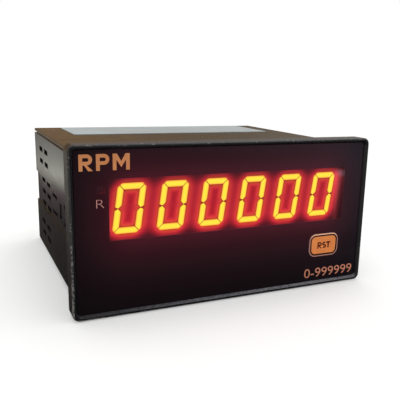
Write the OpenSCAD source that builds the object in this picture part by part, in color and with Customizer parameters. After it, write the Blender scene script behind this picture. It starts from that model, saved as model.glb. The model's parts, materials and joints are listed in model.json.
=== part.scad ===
// Digital rpm indicator for panel mounting, 96 x 48 mm front, six digits.
// X runs to the right, Y from the front to the rear, Z up.
// The origin is the centre of the panel seat: the plane of the bezel's back face.

/* [Front bezel] */
// Width of the bezel
bezel_w = 96; // [94:0.5:110]
// Height of the bezel
bezel_h = 48; // [46:0.5:60]
// Thickness from the front face to the panel seat
bezel_t = 6; // [5:0.1:9]
// Radius of the four outer corners
bezel_r = 2; // [1:0.1:3]
// Chamfer round the front edge
bezel_chamfer = 0.5; // [0.2:0.05:0.8]
// Flat land on the front of the rim
rim_land = 0.9; // [0.6:0.05:1.5]
// Width of the sloping inner face of the rim
rim_slope = 0.45; // [0.2:0.05:0.8]
// Depth of the overlay's surface below the front face
rim_depth = 1; // [0.6:0.05:1.6]
// Corner radius of the recess that holds the overlay
recess_r = 1.2; // [0.6:0.1:2]
// Thickness of the web behind the overlay
web_t = 1.5; // [1:0.1:2.5]
// Wall thickness of the neck that enters the case
neck_t = 1.6; // [1.2:0.1:2]
// Length of the neck behind the panel seat
neck_len = 12; // [9:0.5:14]
// Clearance between the neck and the case
neck_gap = 0.1; // [0.05:0.05:0.3]
// Depth of the rebate in the bezel's back that takes the case's front edge
rebate_d = 1; // [0.5:0.1:1.5]
// Clearance round the case in that rebate
rebate_gap = 0.1; // [0.05:0.05:0.2]
// Thickness of the two latch arms
latch_t = 1.4; // [1:0.1:2]
// Height that a latch hook stands out of its arm
latch_hook = 0.9; // [0.5:0.05:1.1]
// Clearance round a latch hook in its window
latch_gap = 0.2; // [0.1:0.05:0.5]

/* [Overlay and filter] */
// Thickness of the printed film
overlay_t = 0.3; // [0.2:0.05:0.5]
// Gap between the film's edge and its recess
overlay_gap = 0.15; // [0.05:0.05:0.4]
// How far the display window reaches past the row of digits at each end
window_side = 0.4; // [0.2:0.1:1]
// Height of the display window
window_h = 17; // [15:0.5:18]
// How far the display window sits to the right of the digits' middle
window_right = 0.65; // [0:0.05:1.2]
// How far the display window sits above the digits' middle
window_up = 0.2; // [0:0.1:0.6]
// How far the filter reaches past the windows
filter_lap = 1.2; // [0.8:0.1:1.6]
// Gap between the filter and the web
filter_gap = 0.1; // [0.05:0.05:0.3]
// Side of the small square window of the indicator lamp
lamp_window = 2.2; // [1.6:0.1:2.4]
// Distance from the lamp's window to the display window
lamp_gap = 0.9; // [0.6:0.1:1.2]
// How far the lamp's window lies below the top of the display window
lamp_drop = 1.7; // [0:0.1:8]
// Clearance round the lamp behind its window
lamp_play = 0.1; // [0.05:0.05:0.3]

/* [Reset key] */
// Width of the key cap
key_w = 9.6; // [8:0.1:11]
// Height of the key cap
key_h = 6; // [5:0.1:7]
// Corner radius of the key cap
key_r = 1.6; // [0.6:0.1:2]
// Chamfer round the key cap's front edge
key_chamfer = 0.25; // [0.1:0.05:0.4]
// Room between the key's flange and the neck's side wall
key_side = 3.5; // [1:0.1:8]
// Room between the key's flange and the neck's floor
key_floor = 3.55; // [2:0.05:5]
// How far the key cap stands out of the film
key_proud = 0.45; // [0.35:0.05:1]
// Running clearance between the key cap and the web
key_run = 0.15; // [0.1:0.05:0.3]
// Groove between the key cap and the embossed rim
key_groove = 0.34; // [0.24:0.02:0.8]
// Width of the embossed rim round the key
key_rim_w = 0.4; // [0.3:0.05:1]
// Height of the embossed rim above the film
key_rim_h = 0.35; // [0.2:0.05:0.6]
// How far the key's flange reaches past the key cap
key_lap = 0.8; // [0.5:0.1:1.2]
// Thickness of the key's flange
key_flange_t = 0.9; // [0.6:0.1:1.4]
// Gap between the flange and the web at rest
key_seat_gap = 0.05; // [0.02:0.01:0.2]
// Diameter of the key's stem
stem_d = 3; // [2:0.1:3.4]
// Travel of the key
key_travel = 0.3; // [0.2:0.05:0.4]

/* [Key switch] */
// Side of the square switch body
switch_w = 6; // [5.5:0.1:7]
// Height of the switch body above the board
switch_h = 3.5; // [3.2:0.1:4.5]
// Diameter of the switch plunger
plunger_d = 3.4; // [2.6:0.1:4]
// Running clearance round the plunger
plunger_run = 0.06; // [0.03:0.01:0.1]
// How far the plunger stands out of the switch at rest
plunger_out = 0.8; // [0.6:0.05:1.2]
// How far the plunger reaches into the switch at rest
plunger_in = 1.1; // [0.8:0.05:1.3]
// Thickness of the switch's steel cover
switch_cover_t = 0.3; // [0.2:0.05:0.4]
// Thickness of the snap dome
dome_t = 0.12; // [0.08:0.01:0.2]
// Rise of the snap dome
dome_rise = 0.4; // [0.3:0.05:0.6]
// Diameter of the snap dome
dome_d = 4.6; // [4:0.1:5]
// Clearance round the snap dome
dome_play = 0.1; // [0.05:0.05:0.2]
// Air between the plunger at full travel and the snap dome
dome_air = 0.05; // [0.02:0.01:0.1]

/* [Display] */
// Number of digits
digit_count = 6; // [4:1:6]
// Room between the row of digits and the neck's side walls
display_side = 3.9; // [3:0.1:5]
// Centre of the row of digits along X
display_x = 0.45; // [-0.5:0.05:1]
// How far the digit modules lie below the upper edge of their board
display_drop = 0.55; // [0.2:0.05:1.5]
// Gap between two neighbouring digit modules
module_gap = 0.1; // [0.05:0.05:0.3]
// Height of a digit module
module_h = 19; // [18:0.1:19.4]
// Depth of a digit module from its face to the board
module_d = 8; // [7:0.1:9]
// Air between the filter and the face of the digits
filter_air = 0.2; // [0.1:0.05:0.6]
// Height of a digit
digit_h = 14.2; // [12:0.1:15]
// Width of a digit
digit_w = 8.2; // [7:0.1:8.6]
// Width of a segment
segment_w = 1.85; // [1:0.05:2]
// Gap between two neighbouring segments
segment_gap = 0.2; // [0.15:0.05:0.4]
// Chamfer on the four outer corners of a digit
digit_cut = 1.2; // [0.4:0.1:1.6]
// Blunting of the segments' ends at mid height
nib_cut = 0.45; // [0:0.05:0.6]
// Depth of the light wells that the segments fill
segment_t = 0.6; // [0.4:0.1:2]
// Slant of the digits in degrees
slant = 8; // [0:1:12]
// Diameter of a decimal point
point_d = 1.5; // [1:0.1:1.8]
// Gap between a digit and its decimal point
point_gap = 0.3; // [0.2:0.05:0.6]
// Side of a square pin of a digit module
pin_w = 0.5; // [0.4:0.05:0.7]
// Distance from one pin to the next in a row
pin_pitch = 2.54; // [2:0.01:2.6]
// Distance between a module's two rows of pins
pin_rows = 15.24; // [12:0.01:16]
// How far the pins stand out behind the board
pin_out = 1.4; // [0.8:0.1:1.6]
// Length of a driver chip on the back of the board
driver_chip_l = 10; // [8:0.5:11]
// Width of a driver chip
driver_chip_w = 7.5; // [5:0.5:8]
// Thickness of a driver chip
driver_chip_t = 1.8; // [1:0.1:1.9]

/* [Case] */
// Width of the case
case_w = 91.4; // [88:0.1:91.6]
// Height of the case
case_h = 43.1; // [42:0.1:44.4]
// Length of the case behind the panel seat
case_len = 74; // [72:0.5:90]
// Thickness of the side walls
case_wall = 2; // [1.8:0.1:2.4]
// Thickness of the floor
floor_t = 2; // [1.6:0.1:2.4]
// Radius along the two lower edges
case_r = 0.8; // [0.4:0.1:1.6]
// Width of the recessed channel along each side wall
channel_h = 11.2; // [9:0.1:13]
// Depth of that channel
channel_d = 0.5; // [0.4:0.05:1]
// Length of the latch windows
latch_window_l = 3.4; // [3:0.1:5]
// Height of the latch windows
latch_window_h = 4.8; // [4:0.1:5.4]
// Distance from the panel seat to the latch windows
latch_window_y = 22.8; // [20:0.1:26]
// Height of the clamp slots
clamp_slot_h = 1.1; // [0.8:0.1:1.6]
// Distance between the upper and lower clamp slots
clamp_slot_gap = 5.6; // [4:0.1:7]
// Length of the long clamp slots
clamp_slot_l = 9; // [6:0.5:9.5]
// Distance from the panel seat to the long clamp slots
clamp_slot_y = 31; // [28:0.5:32]
// Length of the short clamp slots
stop_slot_l = 2.7; // [2:0.1:4]
// Distance from the panel seat to the short clamp slots
stop_slot_y = 16.2; // [15:0.1:17]
// Corner radius of the clamp slots and latch windows
slot_r = 0.2; // [0.1:0.1:0.4]

/* [Vents] */
// Length of a vent slot
vent_l = 7.4; // [5:0.1:9]
// Height of a vent slot
vent_h = 1.7; // [1:0.1:2.4]
// Corner radius of a vent slot
vent_r = 0.5; // [0.2:0.1:0.8]
// Distance from the panel seat to the middle of the first column
vent_y = 47.7; // [46:0.1:49]
// Distance between the two columns
vent_pitch_y = 11.3; // [10:0.1:11.4]
// Distance between the rows
vent_pitch_z = 4.3; // [3.6:0.1:4.6]
// Height of the first row above the channel's rows
vent_outer_z = 11.1; // [9.5:0.1:12]

/* [Top cover] */
// Thickness of the cover's lip over the side walls
cover_lip = 0.9; // [0.7:0.05:1.4]
// Thickness of the cover's plug between the side walls
cover_plug = 1.1; // [0.8:0.05:1.6]
// Gap between the plug and the side walls
cover_gap = 0.15; // [0.05:0.05:0.3]
// Radius along the cover's two long edges
cover_r = 0.4; // [0.2:0.05:0.6]
// Height of the shadow groove under the lip
groove_h = 0.6; // [0.3:0.05:1]
// Depth of the shadow groove
groove_d = 0.7; // [0.3:0.05:1]
// Width of a snap tongue
tongue_w = 8; // [5:0.5:10]
// Thickness of a snap tongue
tongue_t = 1.2; // [0.8:0.1:1.4]
// Length of a snap tongue below the plug
tongue_l = 3; // [2.4:0.1:3.1]
// Height of the barb on a snap tongue
barb = 0.6; // [0.3:0.05:0.8]
// Clearance round a barb in its pocket
barb_gap = 0.2; // [0.1:0.05:0.3]
// Width of the paper label
label_w = 75; // [60:0.5:80]
// Length of the paper label along Y
label_l = 27; // [20:0.5:30]
// Thickness of the paper label
label_t = 0.15; // [0.1:0.05:0.3]
// Distance from the label to the rear edge of the cover
label_inset = 2; // [1:0.5:8]
// Centre of the label along X
label_x = 1; // [-4:0.5:4]

/* [Rear cover] */
// Thickness of the rear cover
rear_t = 2; // [1.5:0.1:3]
// Depth of the rear cover's face inside the case's end
rear_inset = 1.8; // [1.7:0.1:3]
// Gap between the rear cover and the case
rear_gap = 0.15; // [0.05:0.05:0.3]
// Radius of the four bosses that take the rear screws
boss_r = 3; // [2.6:0.1:3.4]
// Length of those bosses
boss_len = 6.2; // [5:0.1:6.4]
// How far those bosses are let into the walls
boss_sink = 0.2; // [0.1:0.05:0.4]

/* [Screws] */
// Thread diameter of the screws
screw_d = 2.5; // [2:0.1:3]
// Clearance of a screw in the piece that it clamps
screw_gap = 0.2; // [0.1:0.05:0.4]
// Head diameter of the screws
head_d = 4.6; // [4:0.1:5.2]
// Head height of the screws
head_h = 1.5; // [1.2:0.1:1.6]
// How far a screw bites into its boss
bite = 4.5; // [3:0.1:5]
// Width of the cross recess in a screw head
cross_w = 0.6; // [0.4:0.05:0.8]
// Depth that a thread cuts into its boss
thread_cut = 0.15; // [0.1:0.05:0.25]
// Room left past a screw's tip
tip_gap = 0.5; // [0.2:0.1:1]

/* [Boards] */
// Thickness of both printed circuit boards
board_t = 1.6; // [1.2:0.1:2]
// Gap between a board's edge and the walls round it
board_gap = 0.3; // [0.2:0.05:0.6]
// Height of the main board above the floor
standoff_h = 3.6; // [3:0.1:5]
// Gap between the display board and the main board
board_step = 2; // [1.8:0.1:4]
// Distance of the display screws from the middle
display_boss_x = 20; // [14:0.5:22]
// Height of the display screws above the board's lower edge
display_boss_z = 3; // [2.9:0.1:4]
// Width of the two clips that hold the display board
clip_w = 8; // [5:0.5:10]
// Thickness of those clips
clip_t = 1.2; // [1:0.1:1.4]
// How far a clip reaches over the board's edge
clip_barb = 0.7; // [0.4:0.1:1]
// Clearance between a clip and the board
clip_play = 0.1; // [0.05:0.05:0.2]
// Wall round the hole of a display screw's boss
boss_wall = 1.2; // [0.8:0.1:1.6]
// Distance of the clips from the middle
clip_x = 25; // [15:0.5:30]
// Distance of the main board's screws from the middle
standoff_x = 35.5; // [33:0.5:36]
// Distance from the panel seat to the front screws of the main board
standoff_y0 = 17; // [16:0.5:20]
// Distance from the rear standoffs to the bosses behind them
standoff_gap = 5; // [3:0.5:8]
// Outer diameter of a standoff
standoff_d = 6; // [5:0.1:7]
// Distance from the main board's front edge to the header
header_setback = 1.2; // [0.8:0.1:2]
// Side of the header's square body
header_w = 2.5; // [2.3:0.1:2.8]

/* [Terminals] */
// Number of supply terminals
supply_ways = 3; // [2:1:3]
// Distance between supply terminals
supply_pitch = 7.62; // [7:0.01:8]
// Centre of the supply terminals along X
supply_x = -22; // [-24:0.5:-20]
// Number of signal terminals
signal_ways = 6; // [4:1:6]
// Distance between signal terminals
signal_pitch = 5.08; // [5:0.01:5.3]
// Centre of the signal terminals along X
signal_x = 17; // [14:0.5:18]
// Height of a terminal block
terminal_h = 14; // [13:0.5:16]
// Depth of a terminal block along Y
terminal_d = 12; // [11:0.5:13]
// Distance from the terminals' face to the case's rear end
terminal_inset = 0.6; // [0.4:0.1:1.4]
// Side of a square wire entry
wire_w = 3.4; // [3:0.1:3.6]
// Depth of a wire entry
wire_depth = 8; // [6:0.5:9]
// Height of the wire entries above the board
wire_z = 4; // [3.5:0.1:5]
// Diameter of the hole over a terminal screw
driver_d = 3.7; // [3.4:0.1:3.9]
// Height of the terminal screws above the board
driver_z = 9.8; // [9.4:0.1:10.5]
// Depth of a terminal screw's head below the face
driver_depth = 3; // [2:0.1:4]
// Sheet thickness of a wire clamp
clamp_t = 0.5; // [0.4:0.05:0.6]
// Gap between a terminal block and the rear cover
terminal_gap = 0.3; // [0.2:0.05:0.6]
// Side of the bevel along a terminal block's upper edge
terminal_bevel = 1.5; // [1:0.1:2]
// Thickness of the walls at both ends of a terminal block
end_wall = 0.6; // [0.4:0.1:1]
// Distance from a block's face to its wire clamps
clamp_inset = 2; // [1.5:0.1:3]
// Clearance of the clamps and screws in their holes
metal_play = 0.05; // [0.02:0.01:0.1]

/* [Electronics] */
// Width of the transformer core
core_w = 32; // [28:0.5:33]
// Height of the transformer core
core_h = 27; // [24:0.5:30]
// Stack thickness of the transformer core
core_d = 17; // [14:0.5:18]
// Width of the core's middle leg
core_leg = 10; // [8:0.5:11]
// Middle of the transformer along X
core_x = -20; // [-21:0.5:-18]
// Middle of the transformer along Y
core_y = 38; // [36:0.5:40]
// Gap between the winding and the core
winding_gap = 0.3; // [0.2:0.05:0.6]
// How far the winding stands out of the core, front and rear
winding_out = 5; // [3:0.5:6]
// Corner radius of the winding
winding_r = 2; // [1:0.5:3]
// Diameter of the filter capacitors
capacitor_d = 10; // [8:0.5:11]
// Height of the filter capacitors
capacitor_h = 16; // [10:0.5:20]
// Distance between the middles of the capacitors
capacitor_step = 16; // [12:0.5:18]
// Height of the bead round a capacitor's foot
bead_h = 2; // [1.5:0.1:3]
// Height of the groove above that bead
bead_groove_h = 1; // [0.6:0.1:1.5]
// Depth of that groove
bead_groove_d = 0.3; // [0.2:0.05:0.5]
// How far the sleeve ends below a capacitor's top
sleeve_end = 0.5; // [0.2:0.1:1]
// Distance of the bridge rectifier to the left of the transformer's middle
bridge_shift = 6; // [2:0.5:10]
// Diameter of the bridge rectifier
bridge_d = 8.8; // [7:0.1:9.5]
// Height of the bridge rectifier's body
bridge_h = 5; // [4:0.1:6]
// Distance of the bridge rectifier's legs from its middle
bridge_leg = 2.5; // [2:0.1:3]
// Gap between the bridge rectifier and the winding
bridge_gap = 1; // [0.5:0.1:1.5]
// Thickness of the wire leads
lead_d = 0.6; // [0.5:0.05:0.8]
// Middle of the microcontroller along X
controller_x = 12; // [11:0.5:13]
// Distance from the main board's front edge to the microcontroller's middle
controller_setback = 11.4; // [10.5:0.1:12]
// Length of the microcontroller
controller_l = 35.6; // [30:0.1:38]
// Width of the microcontroller
controller_w = 7.2; // [6.6:0.1:9]
// Body height of the integrated circuits
chip_h = 3.3; // [3:0.1:4]
// Height of an integrated circuit's body above its board
chip_lift = 0.6; // [0.4:0.1:1]
// Radius of the notch at a chip's end
chip_notch = 1; // [0.6:0.1:1.2]
// Length of the crystal
crystal_l = 10.5; // [9:0.1:11]
// Width of the crystal
crystal_w = 4.5; // [4:0.1:5]
// Height of the crystal
crystal_h = 3.5; // [3:0.1:4]
// Gap between the crystal and the microcontroller
crystal_gap = 1.75; // [1:0.05:3]
// Length of the input isolator
isolator_l = 6.4; // [5:0.1:7]
// Width of the input isolator
isolator_w = 4.6; // [4:0.1:5]
// Gap between the input isolator and the header
isolator_gap = 1.5; // [1:0.1:3]
// Middle of the heat sink along X
sink_x = 28; // [26:0.5:31]
// Distance from the panel seat to the heat sink
sink_y = 44; // [43:0.5:45]
// Depth of a fin of the heat sink
fin_d = 6; // [3:0.5:6.5]
// Width of the heat sink
sink_w = 16; // [12:0.5:18]
// Height of the heat sink
sink_h = 18; // [15:0.5:22]
// Thickness of the heat sink's plate
sink_t = 1.5; // [1:0.1:2.5]
// Thickness of the heat sink's fins
fin_t = 1; // [0.8:0.1:1.5]
// Width of the voltage regulator
regulator_w = 10; // [9:0.1:10.5]
// Thickness of the voltage regulator
regulator_t = 4.4; // [4:0.1:4.8]
// Height of the voltage regulator's body
regulator_h = 9; // [8:0.1:10]
// Length of the voltage regulator's legs
regulator_leg = 4; // [3:0.1:5]
// Number of fins on the heat sink
sink_fins = 5; // [3:1:6]
// Middle of the first resistor along X
resistor_x = 14; // [13:0.5:16]
// Middle of the row of resistors along Y
resistor_y = 33; // [31:0.5:34]
// Length of a resistor's body
resistor_l = 6.3; // [5:0.1:8]
// Diameter of a resistor's body
resistor_d = 2.4; // [1.8:0.1:2.6]
// Gap between two resistors
resistor_gap = 1.2; // [0.8:0.1:1.5]
// Number of resistors
resistor_count = 6; // [3:1:6]
// Number of pins in the header between the boards
header_pins = 14; // [10:1:16]

/* [Hidden] */
$fn = 48;
eps = 0.01;
over = 1;

// Planes along Y, from the front to the rear
front_y = -bezel_t;
film_y = front_y + rim_depth;
web_y = film_y + overlay_t;
web_back = web_y + web_t;
face_y = web_back + filter_air;
board_y = face_y + module_d;
board_back = board_y + board_t;
main_y = board_back + board_step;
rear_y = case_len - rear_inset - rear_t;
terminal_y = case_len - terminal_inset;

// Inside of the case
in_x = case_w / 2 - case_wall;
in_z0 = -case_h / 2 + floor_t;
in_z1 = case_h / 2 - cover_lip - cover_plug;
in_zm = (in_z0 + in_z1) / 2;
wall_top = case_h / 2 - cover_lip;

// Neck of the bezel, outside and inside
neck_x = in_x - neck_gap;
neck_h = in_z1 - in_z0 - 2 * neck_gap;
neck_in_x = neck_x - neck_t;
neck_z0 = in_zm - neck_h / 2 + neck_t;
neck_z1 = in_zm + neck_h / 2 - neck_t;

// Recess of the overlay at its mouth and at its floor
mouth_w = bezel_w - 2 * rim_land;
mouth_h = bezel_h - 2 * rim_land;
mouth_r = recess_r + rim_slope;
recess_w = mouth_w - 2 * rim_slope;
recess_h = mouth_h - 2 * rim_slope;

// Display board between the neck's walls, under the clips
board_w = 2 * (neck_in_x - board_gap);
board_z0 = neck_z0 + board_gap;
board_z1 = neck_z1 - clip_t - 2 * board_gap;
display_screw_z = board_z0 + display_boss_z;
display_boss_r = screw_d / 2 + boss_wall;
pilot_r = screw_d / 2 - thread_cut;

// Main board
main_z = in_z0 + standoff_h;
main_top = main_z + board_t;
main_end = rear_y - board_gap;

// Rear bosses, let into the walls by boss_sink
boss_x = in_x - boss_r + boss_sink;
boss_z0 = in_z0 + boss_r - boss_sink;
boss_z1 = in_z1 - boss_r - rear_gap;
boss_y = rear_y - boss_len;
rear_holes = [for (x = [-boss_x, boss_x], z = [boss_z0, boss_z1]) [x, z]];
standoff_y1 = boss_y - standoff_gap - standoff_d / 2;
standoffs = [for (x = [-standoff_x, standoff_x], y = [standoff_y0, standoff_y1]) [x, y]];

// Key: its middle, then its planes from its front to its stem's end
key_x = neck_in_x - key_side - key_lap - key_w / 2;
key_z = neck_z0 + key_floor + key_lap + key_h / 2;
key_front = film_y - key_proud;
flange_y = web_back + key_seat_gap;
flange_back = flange_y + key_flange_t;
switch_y = board_y - switch_h;
plunger_y = switch_y - plunger_out;
plunger_end = switch_y + plunger_in;
dome_y = plunger_end + key_travel + dome_air;

// Digits, side by side across the neck
digit_pitch = 2 * (neck_in_x - display_side) / digit_count;
digit_x = [for (i = [0:digit_count - 1]) display_x + (i - (digit_count - 1) / 2) * digit_pitch];
display_z = board_z1 - display_drop - module_h / 2;
module_w = digit_pitch - module_gap;
point_x = digit_w / 2 + point_gap + point_d / 2;
pin_list = [for (k = [-2:2], s = [-1, 1]) [k * pin_pitch, s * pin_rows / 2]];

// Windows, which follow the digits
window_w = digit_count * digit_pitch + 2 * window_side;
window_x = display_x + window_right;
window_z = display_z + window_up;
lamp_x = window_x - window_w / 2 - lamp_gap - lamp_window / 2;
lamp_z = window_z + window_h / 2 - lamp_drop - lamp_window / 2;

// Filter: from the lamp's window to the far end of the display window
filter_x0 = lamp_x - lamp_window / 2 - filter_lap;
filter_x1 = window_x + window_w / 2 + filter_lap;
filter_w = filter_x1 - filter_x0;
filter_h = window_h + 2 * filter_lap;
filter_x = (filter_x0 + filter_x1) / 2;

// Main board's parts that line up with each other
header_l = header_pins * pin_pitch;
header_y = main_y + header_setback;
controller_y = main_y + controller_setback;

// Terminal blocks: a margin of end_wall at both ends
supply_w = supply_ways * supply_pitch + 2 * end_wall;
signal_w = signal_ways * signal_pitch + 2 * end_wall;

// Cover tongues, two on each side, clear of the neck and the bosses
tongue_y = [neck_len + tongue_w / 2 + over, boss_y - tongue_w / 2 - over];

// Solids that run along Y, from a flat shape drawn in X and Z
module slab(y0, y1)
    translate([0, y1, 0])
        rotate([90, 0, 0])
            linear_extrude(y1 - y0) children();

// Solids that run along X, from a flat shape drawn in Y and Z
module bar(x0, x1)
    translate([x0, 0, 0])
        rotate([90, 0, 90])
            linear_extrude(x1 - x0) children();

module at_xz(x, z) translate([x, 0, z]) children();

// Rectangle with round corners, of true arcs
module round_rect(w, h, r) {
    square([w - 2 * r, h], center = true);
    square([w, h - 2 * r], center = true);
    for (x = [-1, 1], y = [-1, 1])
        translate([x * (w / 2 - r), y * (h / 2 - r)]) circle(r);
}

// Block between y0 and y1 whose outline grows by grow on every side
module tapered(w, h, r, grow, y0, y1) {
    bar(-w / 2 + r, w / 2 - r)
        polygon([[y0, -h / 2], [y1, -h / 2 - grow], [y1, h / 2 + grow], [y0, h / 2]]);
    translate([0, 0, -h / 2 + r])
        linear_extrude(h - 2 * r)
            polygon([[-w / 2, y0], [w / 2, y0], [w / 2 + grow, y1], [-w / 2 - grow, y1]]);
    for (x = [-1, 1], z = [-1, 1])
        translate([x * (w / 2 - r), y1, z * (h / 2 - r)])
            rotate([90, 0, 0]) cylinder(h = y1 - y0, r1 = r + grow, r2 = r);
}

// Block with a chamfer round its front edge
module chamfered(w, h, r, c, y0, y1) {
    tapered(w - 2 * c, h - 2 * c, r - c, c, y0, y0 + c);
    slab(y0 + c, y1) round_rect(w, h, r);
}

// Pan head screw along Y: the head's seat is at y, the thread points to -Y or +Y
module screw_y(y, l, dir) {
    head_end = y - dir * head_h;
    difference() {
        translate([0, y, 0])
            rotate([dir * 90, 0, 0]) cylinder(h = head_h, d1 = head_d, d2 = head_d - head_h);
        cross_recess(head_end, dir);
    }
    translate([0, y, 0]) rotate([-dir * 90, 0, 0]) cylinder(h = l, d = screw_d);
}

// Cross recess cut into a head's end
module cross_recess(y, dir) {
    deep = head_h / 2;
    for (s = [[head_d / 2, cross_w], [cross_w, head_d / 2]])
        translate([-s[0] / 2, dir > 0 ? y - eps : y - deep, -s[1] / 2])
            cube([s[0], deep + eps, s[1]]);
}

// Segments, drawn upright and then slanted point by point
function lean(p) = [for (q = p) [q[0] + q[1] * tan(slant), q[1]]];
seg_x = digit_w / 2;
seg_z = digit_h / 2;
seg_m = segment_gap / 2;
half_w = segment_w / 2;
// From a mitre's middle line to the segment's side of it, measured along X or Z
mitre = segment_gap / sqrt(2);
mitre_out = (digit_cut - mitre) / 2;
mitre_in = (digit_cut + mitre) / 2;
function top_bar() = [
    [-seg_x + digit_cut, seg_z], [seg_x - digit_cut, seg_z],
    [seg_x - mitre_in, seg_z - mitre_out], [seg_x - segment_w - mitre, seg_z - segment_w],
    [-seg_x + segment_w + mitre, seg_z - segment_w], [-seg_x + mitre_in, seg_z - mitre_out]
];
function right_bar() = [
    [seg_x - mitre_out, seg_z - mitre_in], [seg_x, seg_z - digit_cut],
    [seg_x, seg_m + nib_cut], [seg_x - half_w, seg_m], [seg_x - segment_w, half_w + seg_m],
    [seg_x - segment_w, seg_z - segment_w - mitre]
];
function middle_bar() = [
    [-seg_x + half_w + seg_m * 2, 0], [-seg_x + segment_w + seg_m, half_w],
    [seg_x - segment_w - seg_m, half_w], [seg_x - half_w - seg_m * 2, 0],
    [seg_x - segment_w - seg_m, -half_w], [-seg_x + segment_w + seg_m, -half_w]
];
function turned(p, sx, sz) = [for (q = p) [q[0] * sx, q[1] * sz]];

// The six outer segments, which show a nought
module outer_segments() {
    for (s = [-1, 1]) polygon(lean(turned(top_bar(), 1, s)));
    for (sx = [-1, 1], sz = [-1, 1]) polygon(lean(turned(right_bar(), sx, sz)));
}

// The middle bar and the decimal point
module inner_segments() {
    polygon(lean(middle_bar()));
    translate([point_x - seg_z * tan(slant), -seg_z + point_d / 2]) circle(d = point_d);
}

// Digit module: a reflector shell with a light well for each segment
module digit_module(i) {
    color("#2b2728")
        at_xz(digit_x[i], display_z)
            difference() {
                slab(face_y, board_y) square([module_w, module_h], center = true);
                slab(face_y - eps, face_y + segment_t) {
                    outer_segments();
                    inner_segments();
                }
            }
}
module digit_1() { digit_module(0); }
module digit_2() { digit_module(1); }
module digit_3() { digit_module(2); }
module digit_4() { digit_module(3); }
module digit_5() { digit_module(4); }
module digit_6() { digit_module(5); }

module lit_segments() {
    color("#ffd83a")
        for (x = digit_x)
            at_xz(x, display_z) slab(face_y, face_y + segment_t) outer_segments();
}

module unlit_segments() {
    color("#7a2a30")
        for (x = digit_x)
            at_xz(x, display_z) slab(face_y, face_y + segment_t) inner_segments();
}

// Pin ends of the digit modules, behind the display board
module digit_pins() {
    color("#c9ccd0")
        for (x = digit_x, p = pin_list)
            at_xz(x + p[0], display_z + p[1])
                slab(board_back, board_back + pin_out) square(pin_w, center = true);
}

// Lamp on the display board, behind its own small window
module indicator_lamp() {
    color("#8c3036")
        at_xz(lamp_x, lamp_z)
            slab(face_y, board_y) square(lamp_window - 2 * lamp_play, center = true);
}

// Bezel: rim, web with its openings, neck, latch arms, bosses and clips
module front_bezel() {
    color("#232323") {
        difference() {
            chamfered(bezel_w, bezel_h, bezel_r, bezel_chamfer, front_y, 0);
            slab(front_y - over, front_y) round_rect(mouth_w, mouth_h, mouth_r);
            tapered(mouth_w, mouth_h, mouth_r, -rim_slope, front_y, film_y);
            slab(film_y, web_y) round_rect(recess_w, recess_h, recess_r);
            at_xz(filter_x, window_z)
                slab(web_y - over, web_back + over)
                    square([filter_w + 2 * filter_gap, filter_h + 2 * filter_gap], center = true);
            at_xz(key_x, key_z)
                slab(web_y - over, web_back + over)
                    round_rect(key_w + 2 * key_run, key_h + 2 * key_run, key_r + key_run);
            translate([-neck_in_x, web_back, neck_z0])
                cube([2 * neck_in_x, bezel_t, neck_z1 - neck_z0]);
            slab(-rebate_d, over)
                square([case_w + 2 * rebate_gap, case_h + 2 * rebate_gap], center = true);
        }
        difference() {
            slab(-rebate_d, neck_len) at_mid() square([2 * neck_x, neck_h], center = true);
            slab(-rebate_d - over, neck_len + over)
                at_mid() square([2 * neck_in_x, neck_z1 - neck_z0], center = true);
        }
        for (s = [-1, 1]) latch_arm(s);
        for (s = [-1, 1]) display_boss(s * display_boss_x);
        for (s = [-1, 1]) board_clip(s * clip_x);
    }
}

module at_mid() translate([0, in_zm]) children();

// Arm that runs back along the side wall and hooks into the wall's window
module latch_arm(side) {
    arm_h = latch_window_h - 2 * latch_gap;
    catch_y = latch_window_y + latch_gap;
    tip_y = latch_window_y + latch_window_l - latch_gap;
    outer = neck_x;
    translate([0, 0, -arm_h / 2])
        linear_extrude(arm_h)
            polygon([
                [side * (outer - latch_t), neck_len - over], [side * outer, neck_len - over],
                [side * outer, catch_y], [side * (outer + latch_hook), catch_y],
                [side * (outer + latch_hook), catch_y + latch_hook / 2],
                [side * outer, tip_y], [side * (outer - latch_t), tip_y]
            ]);
}

// Boss on the back of the web for a display screw
module display_boss(x) {
    at_xz(x, display_screw_z)
        difference() {
            slab(web_back - eps, board_y) circle(display_boss_r);
            slab(board_y - bite, board_y + over) circle(pilot_r);
        }
}

// Clip over the upper edge of the display board
module board_clip(x) {
    z0 = board_z1 + clip_play;
    catch = board_back + clip_play;
    bar(x - clip_w / 2, x + clip_w / 2)
        polygon([
            [web_back - eps, z0 + clip_t], [web_back - eps, z0], [catch, z0],
            [catch, z0 - clip_barb], [catch + clip_t / 2, z0 - clip_barb],
            [catch + 2 * clip_t, z0 + clip_t / 2], [catch + 2 * clip_t, z0 + clip_t]
        ]);
}

// Printed film with its windows and the embossed rim round the key
module front_overlay() {
    open_w = key_w + 2 * key_groove;
    open_h = key_h + 2 * key_groove;
    open_r = key_r + key_groove;
    color("#1a1416")
        difference() {
            union() {
                slab(film_y, web_y)
                    round_rect(recess_w - 2 * overlay_gap, recess_h - 2 * overlay_gap,
                        recess_r - overlay_gap);
                at_xz(key_x, key_z)
                    slab(film_y - key_rim_h, film_y)
                        round_rect(open_w + 2 * key_rim_w, open_h + 2 * key_rim_w, open_r + key_rim_w);
            }
            at_xz(window_x, window_z)
                slab(film_y - over, web_y + over) square([window_w, window_h], center = true);
            at_xz(lamp_x, lamp_z) slab(film_y - over, web_y + over) square(lamp_window, center = true);
            at_xz(key_x, key_z) slab(film_y - over, web_y + over) round_rect(open_w, open_h, open_r);
        }
}

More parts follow.
